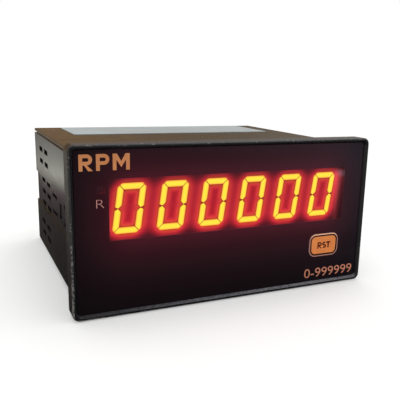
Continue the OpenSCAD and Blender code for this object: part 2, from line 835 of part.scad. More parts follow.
// Tinted plate in the web, with pads that fill the film's windows
module display_filter() {
    color("#5a0f18", 0.6) {
        at_xz(filter_x, window_z) slab(web_y, web_back) square([filter_w, filter_h], center = true);
        at_xz(window_x, window_z)
            slab(film_y, web_y + eps)
                square([window_w - overlay_gap, window_h - overlay_gap], center = true);
        at_xz(lamp_x, lamp_z)
            slab(film_y, web_y + eps) square(lamp_window - overlay_gap, center = true);
    }
}

// Key cap, flange and stem in one moulding
module reset_key() {
    color("#d9823c")
        at_xz(key_x, key_z) {
            chamfered(key_w, key_h, key_r, key_chamfer, key_front, flange_y + eps);
            slab(flange_y, flange_back) round_rect(key_w + 2 * key_lap, key_h + 2 * key_lap, key_r);
            slab(flange_back - eps, plunger_y) circle(d = stem_d);
        }
}

module switch_plunger() {
    color("#3a3a3c")
        at_xz(key_x, key_z) slab(plunger_y, plunger_end) circle(d = plunger_d);
}

module switch_body() {
    color("#1f1f21")
        at_xz(key_x, key_z)
            difference() {
                slab(switch_y + switch_cover_t, board_y) square(switch_w, center = true);
                slab(switch_y, dome_y + dome_rise + dome_t) circle(d = dome_d + 2 * dome_play);
            }
}

module switch_cover() {
    color("#c4c7cb")
        at_xz(key_x, key_z)
            slab(switch_y, switch_y + switch_cover_t)
                difference() {
                    square(switch_w, center = true);
                    circle(d = plunger_d + 2 * plunger_run);
                }
}

// Snap dome: a shallow cap that rests on its edge in the switch's well
module switch_dome() {
    ball = (dome_d * dome_d / 4 + dome_rise * dome_rise) / (2 * dome_rise);
    color("#b9a878")
        translate([key_x, dome_y + ball, key_z])
            rotate([90, 0, 0])
                rotate_extrude()
                    intersection() {
                        difference() {
                            circle(ball, $fn = 200);
                            circle(ball - dome_t, $fn = 200);
                        }
                        translate([0, ball - dome_rise]) square([dome_d / 2, dome_rise * 2]);
                    }
}

module display_board() {
    color("#2e6b3a")
        difference() {
            slab(board_y, board_back)
                translate([0, (board_z0 + board_z1) / 2])
                    square([board_w, board_z1 - board_z0], center = true);
            for (s = [-1, 1])
                at_xz(s * display_boss_x, display_screw_z)
                    slab(board_y - over, board_back + over) circle(screw_d / 2 + screw_gap);
        }
}

// Driver chips on the back of the display board
module display_drivers() {
    color("#202022")
        for (s = [-1, 1])
            at_xz(s * digit_pitch, display_z)
                slab(board_back, board_back + driver_chip_t)
                    square([driver_chip_l, driver_chip_w], center = true);
}

module display_screws() {
    color("#b8bbc0")
        for (s = [-1, 1])
            at_xz(s * display_boss_x, display_screw_z) screw_y(board_back, board_t + bite - tip_gap, -1);
}

// Case: floor and side walls, open above and at both ends
module case_body() {
    color("#2a2a2a")
        difference() {
            union() {
                slab(-rebate_d, case_len) case_section();
                for (p = rear_holes) at_xz(p[0], p[1]) slab(boss_y, rear_y) circle(boss_r);
                for (p = standoffs)
                    translate([p[0], p[1], in_z0 - eps]) cylinder(h = standoff_h + eps, d = standoff_d);
            }
            for (s = [-1, 1]) {
                side_channel(s);
                side_slots(s);
                tongue_pockets(s);
            }
            for (p = rear_holes)
                at_xz(p[0], p[1]) slab(rear_y - bite, rear_y + over) circle(pilot_r);
            for (p = standoffs)
                translate([p[0], p[1], in_z0]) cylinder(h = standoff_h + over, r = pilot_r);
        }
}

// Section of the case in X and Z, with the step under the cover's lip
module case_section() {
    difference() {
        union() {
            translate([0, (wall_top - groove_h - case_h / 2) / 2])
                bottom_round(case_w, wall_top - groove_h + case_h / 2, case_r);
            translate([-case_w / 2 + groove_d, 0]) square([case_w - 2 * groove_d, wall_top]);
        }
        translate([-in_x, in_z0]) square([2 * in_x, case_h]);
    }
}

// Rectangle whose two lower corners are round
module bottom_round(w, h, r) {
    translate([-w / 2, -h / 2 + r]) square([w, h - r]);
    translate([-w / 2 + r, -h / 2]) square([w - 2 * r, h / 2]);
    for (x = [-1, 1]) translate([x * (w / 2 - r), -h / 2 + r]) circle(r);
}

// Channel in which a panel clamp slides
module side_channel(side)
    slab(-rebate_d - over, case_len + over)
        translate([side * (case_w - channel_d + over) / 2, 0])
            square([channel_d + over, channel_h], center = true);

// Slot through a side wall, with round ends, from y0 over a length l
module wall_slot(side, y0, l, z, h, r) {
    x0 = side > 0 ? in_x - over : -case_w / 2 - over;
    bar(x0, x0 + case_wall + 2 * over)
        translate([y0 + l / 2, z]) round_rect(l, h, r);
}

module side_slots(side) {
    vent_rows = [
        for (r = [-1:1]) r * vent_pitch_z,
        for (s = [-1, 1], k = [0, 1]) s * (vent_outer_z + k * vent_pitch_z)
    ];
    for (y = [vent_y, vent_y + vent_pitch_y], z = vent_rows)
        wall_slot(side, y - vent_l / 2, vent_l, z, vent_h, vent_r);
    wall_slot(side, latch_window_y, latch_window_l, 0, latch_window_h, slot_r);
    for (s = [-1, 1]) {
        wall_slot(side, clamp_slot_y, clamp_slot_l, s * clamp_slot_gap / 2, clamp_slot_h, slot_r);
        wall_slot(side, stop_slot_y, stop_slot_l, s * clamp_slot_gap / 2, clamp_slot_h, slot_r);
    }
}

// Pockets inside a side wall that hold the barbs of the cover's tongues
module tongue_pockets(side)
    for (y = tongue_y)
        translate([side > 0 ? in_x - over : -in_x - barb, y, in_z1 - tongue_l - barb_gap])
            translate([0, -tongue_w / 2 - barb_gap, 0])
                cube([barb + over, tongue_w + 2 * barb_gap, 2 * (barb + barb_gap)]);

// Cover: lip over the walls, plug between them and four snap tongues
module top_cover() {
    plug_x = in_x - cover_gap;
    color("#33302c") {
        slab(-rebate_d, case_len) {
            translate([-case_w / 2, wall_top]) square([case_w, cover_lip - cover_r]);
            translate([-case_w / 2 + cover_r, wall_top]) square([case_w - 2 * cover_r, cover_lip]);
            for (s = [-1, 1])
                translate([s * (case_w / 2 - cover_r), case_h / 2 - cover_r]) circle(cover_r);
            translate([-plug_x, in_z1]) square([2 * plug_x, cover_plug]);
        }
        for (s = [-1, 1], y = tongue_y) tongue(s, y);
    }
}

module tongue(side, y) {
    outer = in_x - cover_gap;
    low = in_z1 - tongue_l;
    slab(y - tongue_w / 2, y + tongue_w / 2)
        polygon([
            [side * (outer - tongue_t), in_z1 + eps], [side * outer, in_z1 + eps],
            [side * outer, low + 2 * barb], [side * (outer + barb), low + 2 * barb],
            [side * outer, low], [side * (outer - tongue_t), low]
        ]);
}

// Plain paper label on the top cover
module top_label() {
    color("#c6c8ca")
        translate([label_x - label_w / 2, case_len - label_inset - label_l, case_h / 2])
            cube([label_w, label_l, label_t]);
}

// Rear cover with a cut-out for each terminal block
module rear_cover() {
    w = 2 * (in_x - rear_gap);
    h = in_z1 - in_z0 - 2 * rear_gap;
    color("#262626")
        difference() {
            slab(rear_y, rear_y + rear_t) at_mid() square([w, h], center = true);
            for (t = [[supply_x, supply_w], [signal_x, signal_w]])
                translate([t[0] - t[1] / 2 - terminal_gap, rear_y - over, main_top - terminal_gap])
                    cube([t[1] + 2 * terminal_gap, rear_t + 2 * over, terminal_h + 2 * terminal_gap]);
            for (p = rear_holes)
                at_xz(p[0], p[1])
                    slab(rear_y - over, rear_y + rear_t + over) circle(screw_d / 2 + screw_gap);
        }
}

module rear_screws() {
    color("#b8bbc0")
        for (p = rear_holes) at_xz(p[0], p[1]) screw_y(rear_y + rear_t, rear_t + bite - tip_gap, -1);
}

// Main board, notched at the rear corners for the bosses
module main_board() {
    half = neck_in_x - board_gap;
    notch_x = boss_x - boss_r - board_gap;
    notch_y = boss_y - board_gap;
    color("#2e6b3a")
        difference() {
            translate([0, 0, main_z])
                linear_extrude(board_t)
                    polygon([
                        [-half, main_y], [half, main_y], [half, notch_y], [notch_x, notch_y],
                        [notch_x, main_end], [-notch_x, main_end], [-notch_x, notch_y], [-half, notch_y]
                    ]);
            for (p = standoffs)
                translate([p[0], p[1], main_z - over])
                    cylinder(h = board_t + 2 * over, r = screw_d / 2 + screw_gap);
        }
}

module board_screws() {
    color("#b8bbc0")
        for (p = standoffs)
            translate([p[0], p[1], main_top])
                rotate([90, 0, 0]) screw_y(0, board_t + standoff_h - tip_gap, -1);
}

// Right-angle header that joins the two boards
module board_header() {
    color("#1c1c1e")
        translate([-header_l / 2, header_y, main_top]) cube([header_l, header_w, header_w]);
}

module header_pins_bent() {
    mid = main_top + header_w / 2;
    color("#c9b46a")
        for (k = [0:header_pins - 1])
            translate([(k - (header_pins - 1) / 2) * pin_pitch - pin_w / 2, board_back, mid - pin_w / 2])
                cube([pin_w, header_y - board_back, pin_w]);
}

// Laminated core with a window on each side of the middle leg
module transformer_core() {
    side = core_leg / 2;
    open_w = (core_w - core_leg - 2 * side) / 2;
    open_h = core_h - 2 * side;
    color("#5c5e60")
        translate([core_x, 0, main_top + core_h / 2])
            slab(core_y - core_d / 2, core_y + core_d / 2)
                difference() {
                    square([core_w, core_h], center = true);
                    for (s = [-1, 1])
                        translate([s * (core_leg + open_w) / 2, 0])
                            square([open_w, open_h], center = true);
                }
}

// Winding round the middle leg, wrapped in tape
module transformer_winding() {
    side = core_leg / 2;
    open_w = (core_w - core_leg - 2 * side) / 2;
    h = core_h - 2 * side - 2 * winding_gap;
    w = core_leg + 2 * open_w - 2 * winding_gap;
    color("#c9a227")
        translate([core_x, core_y, main_top + core_h / 2 - h / 2])
            linear_extrude(h)
                difference() {
                    round_rect(w, core_d + 2 * winding_out, winding_r);
                    square([core_leg + 2 * winding_gap, core_d + 2 * winding_gap], center = true);
                }
}

module filter_capacitors() {
    color("#26355c")
        for (s = [-1, 1])
            translate([core_x + core_w / 2 + capacitor_d, core_y + s * capacitor_step / 2, main_top]) {
                cylinder(h = capacitor_h, d = capacitor_d - 2 * bead_groove_d);
                cylinder(h = bead_h, d = capacitor_d);
                translate([0, 0, bead_h + bead_groove_h])
                    cylinder(h = capacitor_h - bead_h - bead_groove_h - sleeve_end, d = capacitor_d);
            }
}

module bridge_rectifier() {
    bridge_y = core_y - core_d / 2 - winding_out - bridge_gap - bridge_d / 2;
    color("#1d1d1f")
        translate([core_x - bridge_shift, bridge_y, main_top]) {
            translate([0, 0, chip_lift]) cylinder(h = bridge_h, d = bridge_d);
            for (a = [0:90:270])
                rotate([0, 0, a])
                    translate([bridge_leg, 0, 0]) cylinder(h = chip_lift + eps, d = lead_d);
        }
}

// Finned plate that stands on the board, with the regulator on its face
module heat_sink() {
    step = (sink_w - fin_t) / (sink_fins - 1);
    color("#8d9094")
        translate([sink_x, sink_y, main_top]) {
            translate([-sink_w / 2, 0, 0]) cube([sink_w, sink_t, sink_h]);
            for (k = [0:sink_fins - 1])
                translate([-sink_w / 2 + k * step, sink_t - eps, 0]) cube([fin_t, fin_d, sink_h]);
        }
}

module voltage_regulator() {
    color("#1d1d1f")
        translate([sink_x - regulator_w / 2, sink_y - regulator_t, main_top + regulator_leg])
            cube([regulator_w, regulator_t, regulator_h]);
    color("#c4c7cb")
        for (k = [-1:1])
            translate([sink_x + k * pin_pitch - lead_d / 2, sink_y - regulator_t / 2, main_top])
                cube([lead_d, lead_d, regulator_leg + eps]);
}

// Chip body, with a round notch at one end, standing chip_lift off the board
module chip(l, w) {
    translate([0, 0, main_top + chip_lift])
        linear_extrude(chip_h)
            difference() {
                square([l, w], center = true);
                translate([-l / 2, 0]) circle(chip_notch);
            }
}

module microcontroller() {
    color("#202022") translate([controller_x, controller_y, 0]) chip(controller_l, controller_w);
}

module chip_legs() {
    count = floor(controller_l / pin_pitch);
    color("#c9ccd0")
        for (k = [0:count - 1], s = [-1, 1])
            translate([
                controller_x + (k - (count - 1) / 2) * pin_pitch - pin_w / 2,
                controller_y + s * (controller_w / 2 + pin_w / 2) - pin_w / 2,
                main_top
            ])
                cube([pin_w, pin_w, chip_lift + chip_h / 2]);
}

module crystal() {
    color("#b9bcc0")
        translate([
            controller_x - controller_l / 2 - crystal_gap - crystal_l / 2, controller_y, main_top
        ])
            linear_extrude(crystal_h) {
                square([crystal_l - crystal_w, crystal_w], center = true);
                for (s = [-1, 1]) translate([s * (crystal_l - crystal_w) / 2, 0]) circle(d = crystal_w);
            }
}

module input_isolator() {
    color("#e4e2da")
        translate([header_l / 2 + isolator_gap, header_y, main_top])
            cube([isolator_l, isolator_w, chip_h]);
}

// Resistors in a row, their leads bent down to the board
module resistors() {
    color("#b08d5b")
        for (k = [0:resistor_count - 1])
            translate([
                resistor_x + k * (resistor_d + resistor_gap), resistor_y, main_top + resistor_d / 2
            ]) {
                rotate([90, 0, 0]) cylinder(h = resistor_l, d = resistor_d, center = true);
                for (s = [-1, 1])
                    translate([0, s * (resistor_l + lead_d) / 2, (lead_d - resistor_d) / 4])
                        cube([lead_d, lead_d + 2 * eps, (resistor_d + lead_d) / 2], center = true);
            }
}

// Places of the ways of a block, as offsets from its middle
function ways(n, pitch) = [for (k = [0:n - 1]) (k - (n - 1) / 2) * pitch];

// Terminal block: a wire entry and a screw hole for each way, both at the rear
module terminal_block(x, w, places) {
    translate([x, 0, main_top])
        difference() {
            translate([-w / 2, terminal_y - terminal_d, 0]) cube([w, terminal_d, terminal_h]);
            bar(-w / 2 - over, w / 2 + over)
                polygon([
                    [terminal_y - terminal_bevel, terminal_h + eps],
                    [terminal_y + eps, terminal_h + eps],
                    [terminal_y + eps, terminal_h - terminal_bevel]
                ]);
            for (p = places) {
                translate([p - wire_w / 2, terminal_y - wire_depth, wire_z - wire_w / 2])
                    cube([wire_w, wire_depth + over, wire_w]);
                translate([p, 0, driver_z])
                    slab(terminal_y - wire_depth, terminal_y + over) circle(d = driver_d);
            }
        }
}

module supply_terminals() {
    color("#2f6f4a") terminal_block(supply_x, supply_w, ways(supply_ways, supply_pitch));
}

module signal_terminals() {
    color("#2f6f4a") terminal_block(signal_x, signal_w, ways(signal_ways, signal_pitch));
}

all_ways = [
    for (p = ways(supply_ways, supply_pitch)) supply_x + p,
    for (p = ways(signal_ways, signal_pitch)) signal_x + p
];

// Open steel cage at the bottom of each wire entry
module wire_clamps() {
    cage = wire_w - 2 * metal_play;
    color("#c4c7cb")
        for (x = all_ways)
            translate([x, 0, main_top + wire_z])
                slab(terminal_y - wire_depth, terminal_y - clamp_inset)
                    difference() {
                        square(cage, center = true);
                        square(cage - 2 * clamp_t, center = true);
                    }
}

// Slotted screws, sunk in the upper holes of the blocks
module terminal_screws() {
    y0 = terminal_y - driver_depth;
    color("#c4c7cb")
        for (x = all_ways)
            translate([x, 0, main_top + driver_z])
                difference() {
                    slab(terminal_y - wire_depth, y0) circle(d = driver_d - 2 * metal_play);
                    translate([-driver_d / 2, y0 - cross_w, -cross_w / 2])
                        cube([driver_d, cross_w + over, cross_w]);
                }
}

front_bezel();
front_overlay();
display_filter();
digit_1();
digit_2();
digit_3();
digit_4();
digit_5();
digit_6();
lit_segments();
unlit_segments();
digit_pins();
indicator_lamp();
reset_key();
switch_plunger();
switch_body();
switch_cover();
switch_dome();
display_board();
display_drivers();
display_screws();
case_body();
top_cover();
top_label();
rear_cover();
rear_screws();
main_board();
board_screws();
board_header();
header_pins_bent();
transformer_core();
transformer_winding();
filter_capacitors();
bridge_rectifier();
heat_sink();
voltage_regulator();
microcontroller();
chip_legs();
crystal();
input_isolator();
resistors();
supply_terminals();
signal_terminals();
wire_clamps();
terminal_screws();
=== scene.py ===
"""Digital rpm indicator for panel mounting: its finishes, prints and glow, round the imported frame.

Metres, in the frame of the CAD model: X right, Y from the front to the rear, Z up, and the origin in the
middle of the panel seat. The moulded outer parts are copies of their CAD nodes with rounded edges. The
display glows through its smoked window by emission that is worked out from the shape of the digits.
"""

import json
import math

import bmesh
import bpy
import numpy as np
from mathutils import Matrix, Vector

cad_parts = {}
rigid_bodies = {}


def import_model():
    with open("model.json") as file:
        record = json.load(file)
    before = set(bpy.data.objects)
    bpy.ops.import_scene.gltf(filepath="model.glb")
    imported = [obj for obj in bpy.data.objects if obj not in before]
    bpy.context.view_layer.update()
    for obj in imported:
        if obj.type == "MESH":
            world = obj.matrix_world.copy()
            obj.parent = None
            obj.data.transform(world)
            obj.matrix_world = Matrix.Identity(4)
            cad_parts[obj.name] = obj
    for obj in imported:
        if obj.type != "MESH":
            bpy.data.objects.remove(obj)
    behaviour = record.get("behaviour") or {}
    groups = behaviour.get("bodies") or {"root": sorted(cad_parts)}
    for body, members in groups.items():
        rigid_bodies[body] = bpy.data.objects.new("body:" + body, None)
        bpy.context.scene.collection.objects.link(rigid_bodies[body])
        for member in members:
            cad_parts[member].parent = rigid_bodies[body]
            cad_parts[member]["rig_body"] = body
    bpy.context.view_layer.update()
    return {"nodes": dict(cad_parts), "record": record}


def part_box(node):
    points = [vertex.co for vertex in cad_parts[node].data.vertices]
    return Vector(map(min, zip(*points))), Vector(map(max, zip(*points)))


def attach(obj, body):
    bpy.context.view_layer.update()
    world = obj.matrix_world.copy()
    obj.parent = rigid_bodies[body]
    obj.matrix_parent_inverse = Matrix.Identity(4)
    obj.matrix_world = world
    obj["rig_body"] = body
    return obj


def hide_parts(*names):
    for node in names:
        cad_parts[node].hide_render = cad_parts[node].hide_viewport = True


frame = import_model()
scene = bpy.context.scene
MM = 0.001

# Sizes that the finishes and prints share with the CAD model, in millimetres: pairs are along X and Z


def corners(node):
    """Lowest and highest corner of a node's box in mm."""
    return tuple(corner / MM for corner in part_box(node))


def middle(node):
    """Middle of a node's box along X and Z, in mm."""
    low, high = corners(node)
    return (low.x + high.x) / 2, (low.z + high.z) / 2


BEZEL_LOW, BEZEL_HIGH = corners("front_bezel")
BEZEL_HALF = (BEZEL_HIGH.x, BEZEL_HIGH.z)  # half the width and height of the bezel
BEZEL_FRONT = BEZEL_LOW.y
BEZEL_CORNER = 2.0  # radius of its corners
FILM_FRONT = corners("display_filter")[0].y  # the film is flush with the filter
KEY_CENTRE = middle("reset_key")
KEY_FRONT = corners("reset_key")[0].y
KEY_HALF = (4.8, 3.0)
KEY_CORNER = 1.6
RIM_INSIDE, RIM_OUTSIDE = 0.34, 0.74  # distances from the key's edge to the embossed rim's two edges
DIGIT_COUNT = 6
FIRST_DIGIT, LAST_DIGIT = middle("digit_1"), middle("digit_6")
DIGIT_PITCH = (LAST_DIGIT[0] - FIRST_DIGIT[0]) / (DIGIT_COUNT - 1)
DIGIT_ROW = ((FIRST_DIGIT[0] + LAST_DIGIT[0]) / 2, FIRST_DIGIT[1])  # middle of the row of digits
DIGIT_LEAN = math.radians(8)
RING_HALF = (3.175, 6.175)  # from a digit's middle to the centre lines of its outer segments
ROW_HALF = (33.8, 7.1)  # half the width and height of the row of digits
ROW_CORNER = 3.0  # radius of the corners that its haze spreads round

FILTER_PASS = 0.36  # share of the light that gets through both faces of the smoked window


def linear(colour):
    """Linear RGBA of an sRGB hex colour."""
    parts = np.array([int(colour[i : i + 2], 16) for i in (1, 3, 5)]) / 255
    parts = np.where(parts <= 0.04045, parts / 12.92, ((parts + 0.055) / 1.055) ** 2.4)
    return (*parts.tolist(), 1.0)


def add(tree, kind, inputs=None, out=0, stops=(), **settings):
    """Adds a shader node and returns its output `out`. Each of `inputs` takes a value, a hex colour or
    another node's output. `stops` fill a colour ramp, and `settings` are the node's other properties."""
    node = tree.nodes.new("ShaderNode" + kind)
    for name, value in settings.items():
        setattr(node, name, value)
    for _ in stops[2:]:
        node.color_ramp.elements.new(0.5)
    for index, (share, colour) in enumerate(stops):
        mark = node.color_ramp.elements[index]
        mark.position, mark.color = share, linear(colour)
    for key, value in (inputs or {}).items():
        if isinstance(value, bpy.types.NodeSocket):
            tree.links.new(value, node.inputs[key])
        else:
            node.inputs[key].default_value = linear(value) if isinstance(value, str) else value
    return node.outputs[out] if len(node.outputs) else node


def blank(name):
    """A material with an empty node tree, that tree, and the place on the object in metres."""
    finish = bpy.data.materials.new(name)
    finish.use_nodes = True
    tree = finish.node_tree
    tree.nodes.clear()
    return finish, tree, add(tree, "TexCoord", out="Object")


def coat(tree, sockets):
    """Ends a material's tree: a Principled shader with these sockets is its surface."""
    add(tree, "OutputMaterial", {"Surface": add(tree, "BsdfPrincipled", sockets)})


def mottle(tree, place, size, low, high, detail=3.0):
    """A value that wanders from `low` to `high` in patches of `size` mm: noise, with its usual range of
    0.32 to 0.68 stretched to that one."""
    raw = add(tree, "TexNoise", {"Vector": place, "Scale": 1 / (size * MM), "Detail": detail}, "Fac")
    spread = {"Value": raw, "From Min": 0.32, "From Max": 0.68, "To Min": low, "To Max": high}
    return add(tree, "MapRange", spread)


def grain(tree, place, size, height):
    """Normal of a surface that noise of `size` mm lifts by `height` mm."""
    raw = add(tree, "TexNoise", {"Vector": place, "Scale": 1 / (size * MM), "Detail": 2.0}, "Fac")
    return add(tree, "Bump", {"Height": raw, "Distance": height * MM})


def drifting(tree, place, size, colour, other):
    """Colour that drifts from `colour` to `other` and back in patches of `size` mm."""
    return add(tree, "MixRGB", {"Fac": mottle(tree, place, size, 0, 1), "Color1": colour, "Color2": other})


def box_distance(tree, place, centre, half, radius=0.0, scale=1 / MM):
    """Distance in mm from each point to the edge of a box in X and Z with rounded corners, below 0 inside
    it: the length of what reaches past the box of the corners' centres, plus the larger of the two
    differences where both are below 0, less the radius. `scale` turns `place` to mm."""
    shift = {0: place, 1: (scale, 0, scale), 2: (-centre[0], 0, -centre[1])}
    local = add(tree, "VectorMath", shift, operation="MULTIPLY_ADD")
    size = add(tree, "VectorMath", {0: local}, operation="ABSOLUTE")
    core = (half[0] - radius, 1e3, half[1] - radius)  # the 1e3 keeps Y out of both parts of the distance
    past = add(tree, "VectorMath", {0: size, 1: core}, operation="SUBTRACT")
    clear = add(tree, "VectorMath", {0: past, 1: (0, 0, 0)}, operation="MAXIMUM")
    outside = add(tree, "VectorMath", {0: clear}, "Value", operation="LENGTH")
    across, _, up = add(tree, "SeparateXYZ", {0: past}).node.outputs
    larger = add(tree, "Math", {0: across, 1: up}, operation="MAXIMUM")
    inside = add(tree, "Math", {0: larger, 1: 0.0}, operation="MINIMUM")
    both = add(tree, "Math", {0: outside, 1: inside}, operation="ADD")
    return add(tree, "Math", {0: both, 1: radius}, operation="SUBTRACT")


# Light of the display


def straightened(tree, place):
    """Place across and up the row of digits with their lean taken out, in metres: X less Z times the
    tangent of the lean, and Z."""
    x, _, z = add(tree, "SeparateXYZ", {0: place}).node.outputs
    return add(tree, "Math", {0: z, 1: -math.tan(DIGIT_LEAN), 2: x}, operation="MULTIPLY_ADD"), z


def digit_place(tree, place, turn):
    """Place in mm within one of the two digits nearest to a point: straightened, counted in pitches from
    the row's left end, and less the middle of the digit that the count with `turn` added falls in. Digits
    past the row's ends are moved ten pitches further out, so that nothing glows there."""
    across, up = straightened(tree, place)
    # The row's left end, and the lean that the height of the row's middle has put in
    start = DIGIT_COUNT / 2 * DIGIT_PITCH - DIGIT_ROW[0] + DIGIT_ROW[1] * math.tan(DIGIT_LEAN)
    pitches = {0: across, 1: 1 / (MM * DIGIT_PITCH), 2: start / DIGIT_PITCH}
    count = add(tree, "Math", pitches, operation="MULTIPLY_ADD")
    near = add(tree, "Math", {0: count, 1: turn}, operation="ADD")
    whole = add(tree, "Math", {0: near}, operation="FLOOR")
    held = add(tree, "Clamp", {"Value": whole, "Min": 0.0, "Max": DIGIT_COUNT - 1.0})
    past = add(tree, "Math", {0: whole, 1: held}, operation="SUBTRACT")
    digit = add(tree, "Math", {0: past, 1: 10.0, 2: held}, operation="MULTIPLY_ADD")
    offset = add(tree, "Math", {0: count, 1: digit}, operation="SUBTRACT")
    from_middle = {
        "X": add(tree, "Math", {0: offset, 1: DIGIT_PITCH, 2: -DIGIT_PITCH / 2}, operation="MULTIPLY_ADD"),
        "Z": add(tree, "Math", {0: up, 1: 1 / MM, 2: -DIGIT_ROW[1]}, operation="MULTIPLY_ADD"),
    }
    return add(tree, "CombineXYZ", from_middle)


MELT = 5.0  # mm over which the light of two neighbouring digits runs together


def ring_distance(tree, place, radius):
    """Distance in mm outward from the centre line of the nearest lit ring, whose corners have `radius`,
    below 0 inside it. Half way between two digits the distances to both melt into a shorter one, because
    both light that place."""
    digits = (digit_place(tree, place, turn) for turn in (-0.5, 0.5))
    left, right = (box_distance(tree, digit, (0, 0), RING_HALF, radius, 1) for digit in digits)
    return add(tree, "Math", {0: left, 1: right, 2: MELT}, operation="SMOOTH_MIN")


HAZE_REACH = 26.0  # mm from the row to where its light no longer shows in the film
HAZE = [
    (0.0, "#4a1821"),
    (0.09, "#401720"),
    (0.15, "#38151c"),
    (0.23, "#2e1218"),
    (0.34, "#261217"),
    (0.5, "#1b0e12"),
    (0.7, "#120a0d"),
    (1.0, "#0a0809"),
]


def haze(tree, place):
    """Light that creeps in the film and the window: a ramp over the distance from the row of digits."""
    from_row = box_distance(tree, place, DIGIT_ROW, ROW_HALF, ROW_CORNER)
    along = add(tree, "MapRange", {"Value": from_row, "From Min": 0.0, "From Max": HAZE_REACH})
    return add(tree, "ValToRGB", {"Fac": along}, stops=HAZE)


LAST_HALO_START, LAST_HALO_END = 35.96, 38.96  # mm across the straightened row
LAST_HALO = [
    (0.0, "#b54144"),
    (0.06, "#ab3d3f"),
    (0.3, "#772123"),
    (0.47, "#54130d"),
    (0.63, "#350b00"),
    (0.8, "#160000"),
    (1.0, "#000000"),
]
# The other sides of the last digit's halo, beside the digit's face, below and above: an axis, the place in
# mm where the halo is nothing, and the one where it is whole
LAST_HALO_SIDES = [("X", 35.8, 37.15), ("Z", -3.4, -1.4), ("Z", 14.6, 12.4)]


def last_halo(tree, place):
    """Halo of the last digit, which spreads in the window past the digit's face: a ramp over the way across
    the straightened row, times a rise at each of its other sides."""
    across, _ = straightened(tree, place)
    span = {"Value": across, "From Min": LAST_HALO_START * MM, "From Max": LAST_HALO_END * MM}
    halo = add(tree, "ValToRGB", {"Fac": add(tree, "MapRange", span)}, stops=LAST_HALO)
    parts = add(tree, "SeparateXYZ", {0: place}).node.outputs
    for axis, nothing, whole in LAST_HALO_SIDES:
        rise = {"Value": parts[axis], "From Min": nothing * MM, "From Max": whole * MM}
        halo = add(tree, "VectorMath", {0: halo, "Scale": add(tree, "MapRange", rise)}, operation="SCALE")
    return halo


GLOW_REACH = 4.4  # mm from the ring's centre line to either end of a glow's ramp
GLOW_FOOT, GLOW_TOP = -2.3, 16.0  # heights in mm between which the halo's strength changes
GLOW_BY_HEIGHT = [
    (0.0, "#e6e6e6"),
    (0.05, "#ffffff"),
    (0.45, "#f2f2f2"),
    (0.7, "#e8e8e8"),
    (0.79, "#dcdcdc"),
    (0.85, "#c8c8c8"),
    (0.9, "#b2b2b2"),
    (0.94, "#989898"),
    (1.0, "#4c4c4c"),
]
# Light over the distance in mm outward from the ring's centre line, as seen through the window
FACE_LIGHT = [
    (-3.2, "#a20f1a"),
    (-2.6, "#b4161f"),
    (-2.1, "#cc2629"),
    (-1.65, "#dc3c34"),
    (-1.3, "#cf4420"),
    (-1.02, "#a83c08"),
    (-0.7, "#9c2410"),
    (0.7, "#9c2410"),
    (1.02, "#a83c08"),
    (1.3, "#cb3e1c"),
    (1.6, "#d0362c"),
    (2.0, "#c4282c"),
    (2.4, "#a81822"),
    (2.8, "#861018"),
    (3.2, "#600810"),
    (3.7, "#330206"),
    (4.35, "#000000"),
]
LIT_LIGHT = [
    (-0.92, "#f08a2c"),
    (-0.72, "#ffbc42"),
    (-0.5, "#ffe63e"),
    (0.5, "#ffe63e"),
    (0.72, "#ffbc42"),
    (0.92, "#f08a2c"),
]
UNLIT_LIGHT = [
    (-3.2, "#a81220"),
    (-2.5, "#b61a24"),
    (-1.6, "#d03230"),
    (-0.9, "#cc4224"),
    (0.9, "#c83820"),
    (1.6, "#c82e2a"),
    (2.4, "#a81822"),
    (3.2, "#620a12"),
    (4.35, "#000000"),
]


def glow(name, light_over_distance, radius, roughness, falling=True):
    """A face lit from the ring of segments: its light, as seen through the window, is a ramp over the
    distance from the ring's centre line, and where it is `falling`, times a ramp over the height."""
    finish, tree, place = blank(name)
    span = {"Value": ring_distance(tree, place, radius), "From Min": -GLOW_REACH, "From Max": GLOW_REACH}
    stops = [(0.5 + distance / (2 * GLOW_REACH), colour) for distance, colour in light_over_distance]
    light = add(tree, "ValToRGB", {"Fac": add(tree, "MapRange", span)}, stops=stops)
    if falling:
        height = add(tree, "SeparateXYZ", {0: place}, "Z")
        rise = {"Value": height, "From Min": GLOW_FOOT * MM, "From Max": GLOW_TOP * MM}
        strength = add(tree, "ValToRGB", {"Fac": add(tree, "MapRange", rise)}, stops=GLOW_BY_HEIGHT)
        light = add(tree, "VectorMath", {0: light, 1: strength}, operation="MULTIPLY")
    sockets = {
        "Base Color": drifting(tree, place, 3, "#140b0d", "#1b0f11"),
        "Roughness": mottle(tree, place, 2, roughness - 0.05, roughness + 0.05),
        "Specular IOR Level": 0.2,
        "Emission Color": light,
        "Emission Strength": 1 / FILTER_PASS,
        "Normal": grain(tree, place, 0.4, 0.01),
    }
    coat(tree, sockets)
    return finish


# Finishes


def moulding(name, colour, worn, roughness, texture, height, gloss=0.5):
    """A moulded plastic. Its colour drifts to `worn` in 9 mm patches, its roughness by 15% either way, and
    a texture of `texture` mm from the tool stands `height` mm high."""
    finish, tree, place = blank(name)
    sockets = {
        "Base Color": drifting(tree, place, 9, colour, worn),
        "Roughness": mottle(tree, place, 4, roughness * 0.85, roughness * 1.15),
        "Specular IOR Level": gloss,
        "Normal": grain(tree, place, texture, height),
    }
    coat(tree, sockets)
    return finish


def metal(name, colour, shade, roughness, texture, height, closer=(1, 1, 1)):
    """A metal whose colour drifts to `shade` and whose marks of `texture` mm lie `closer` times as close
    along X, Y and Z, so that below 1 they are drawn out."""
    finish, tree, place = blank(name)
    drawn = add(tree, "Mapping", {"Vector": place, "Scale": closer})
    sockets = {
        "Base Color": drifting(tree, drawn, 2.5, colour, shade),
        "Metallic": 1.0,
        "Roughness": mottle(tree, drawn, 1.2, roughness - 0.08, roughness + 0.08),
        "Normal": grain(tree, drawn, texture, height),
    }
    coat(tree, sockets)
    return finish


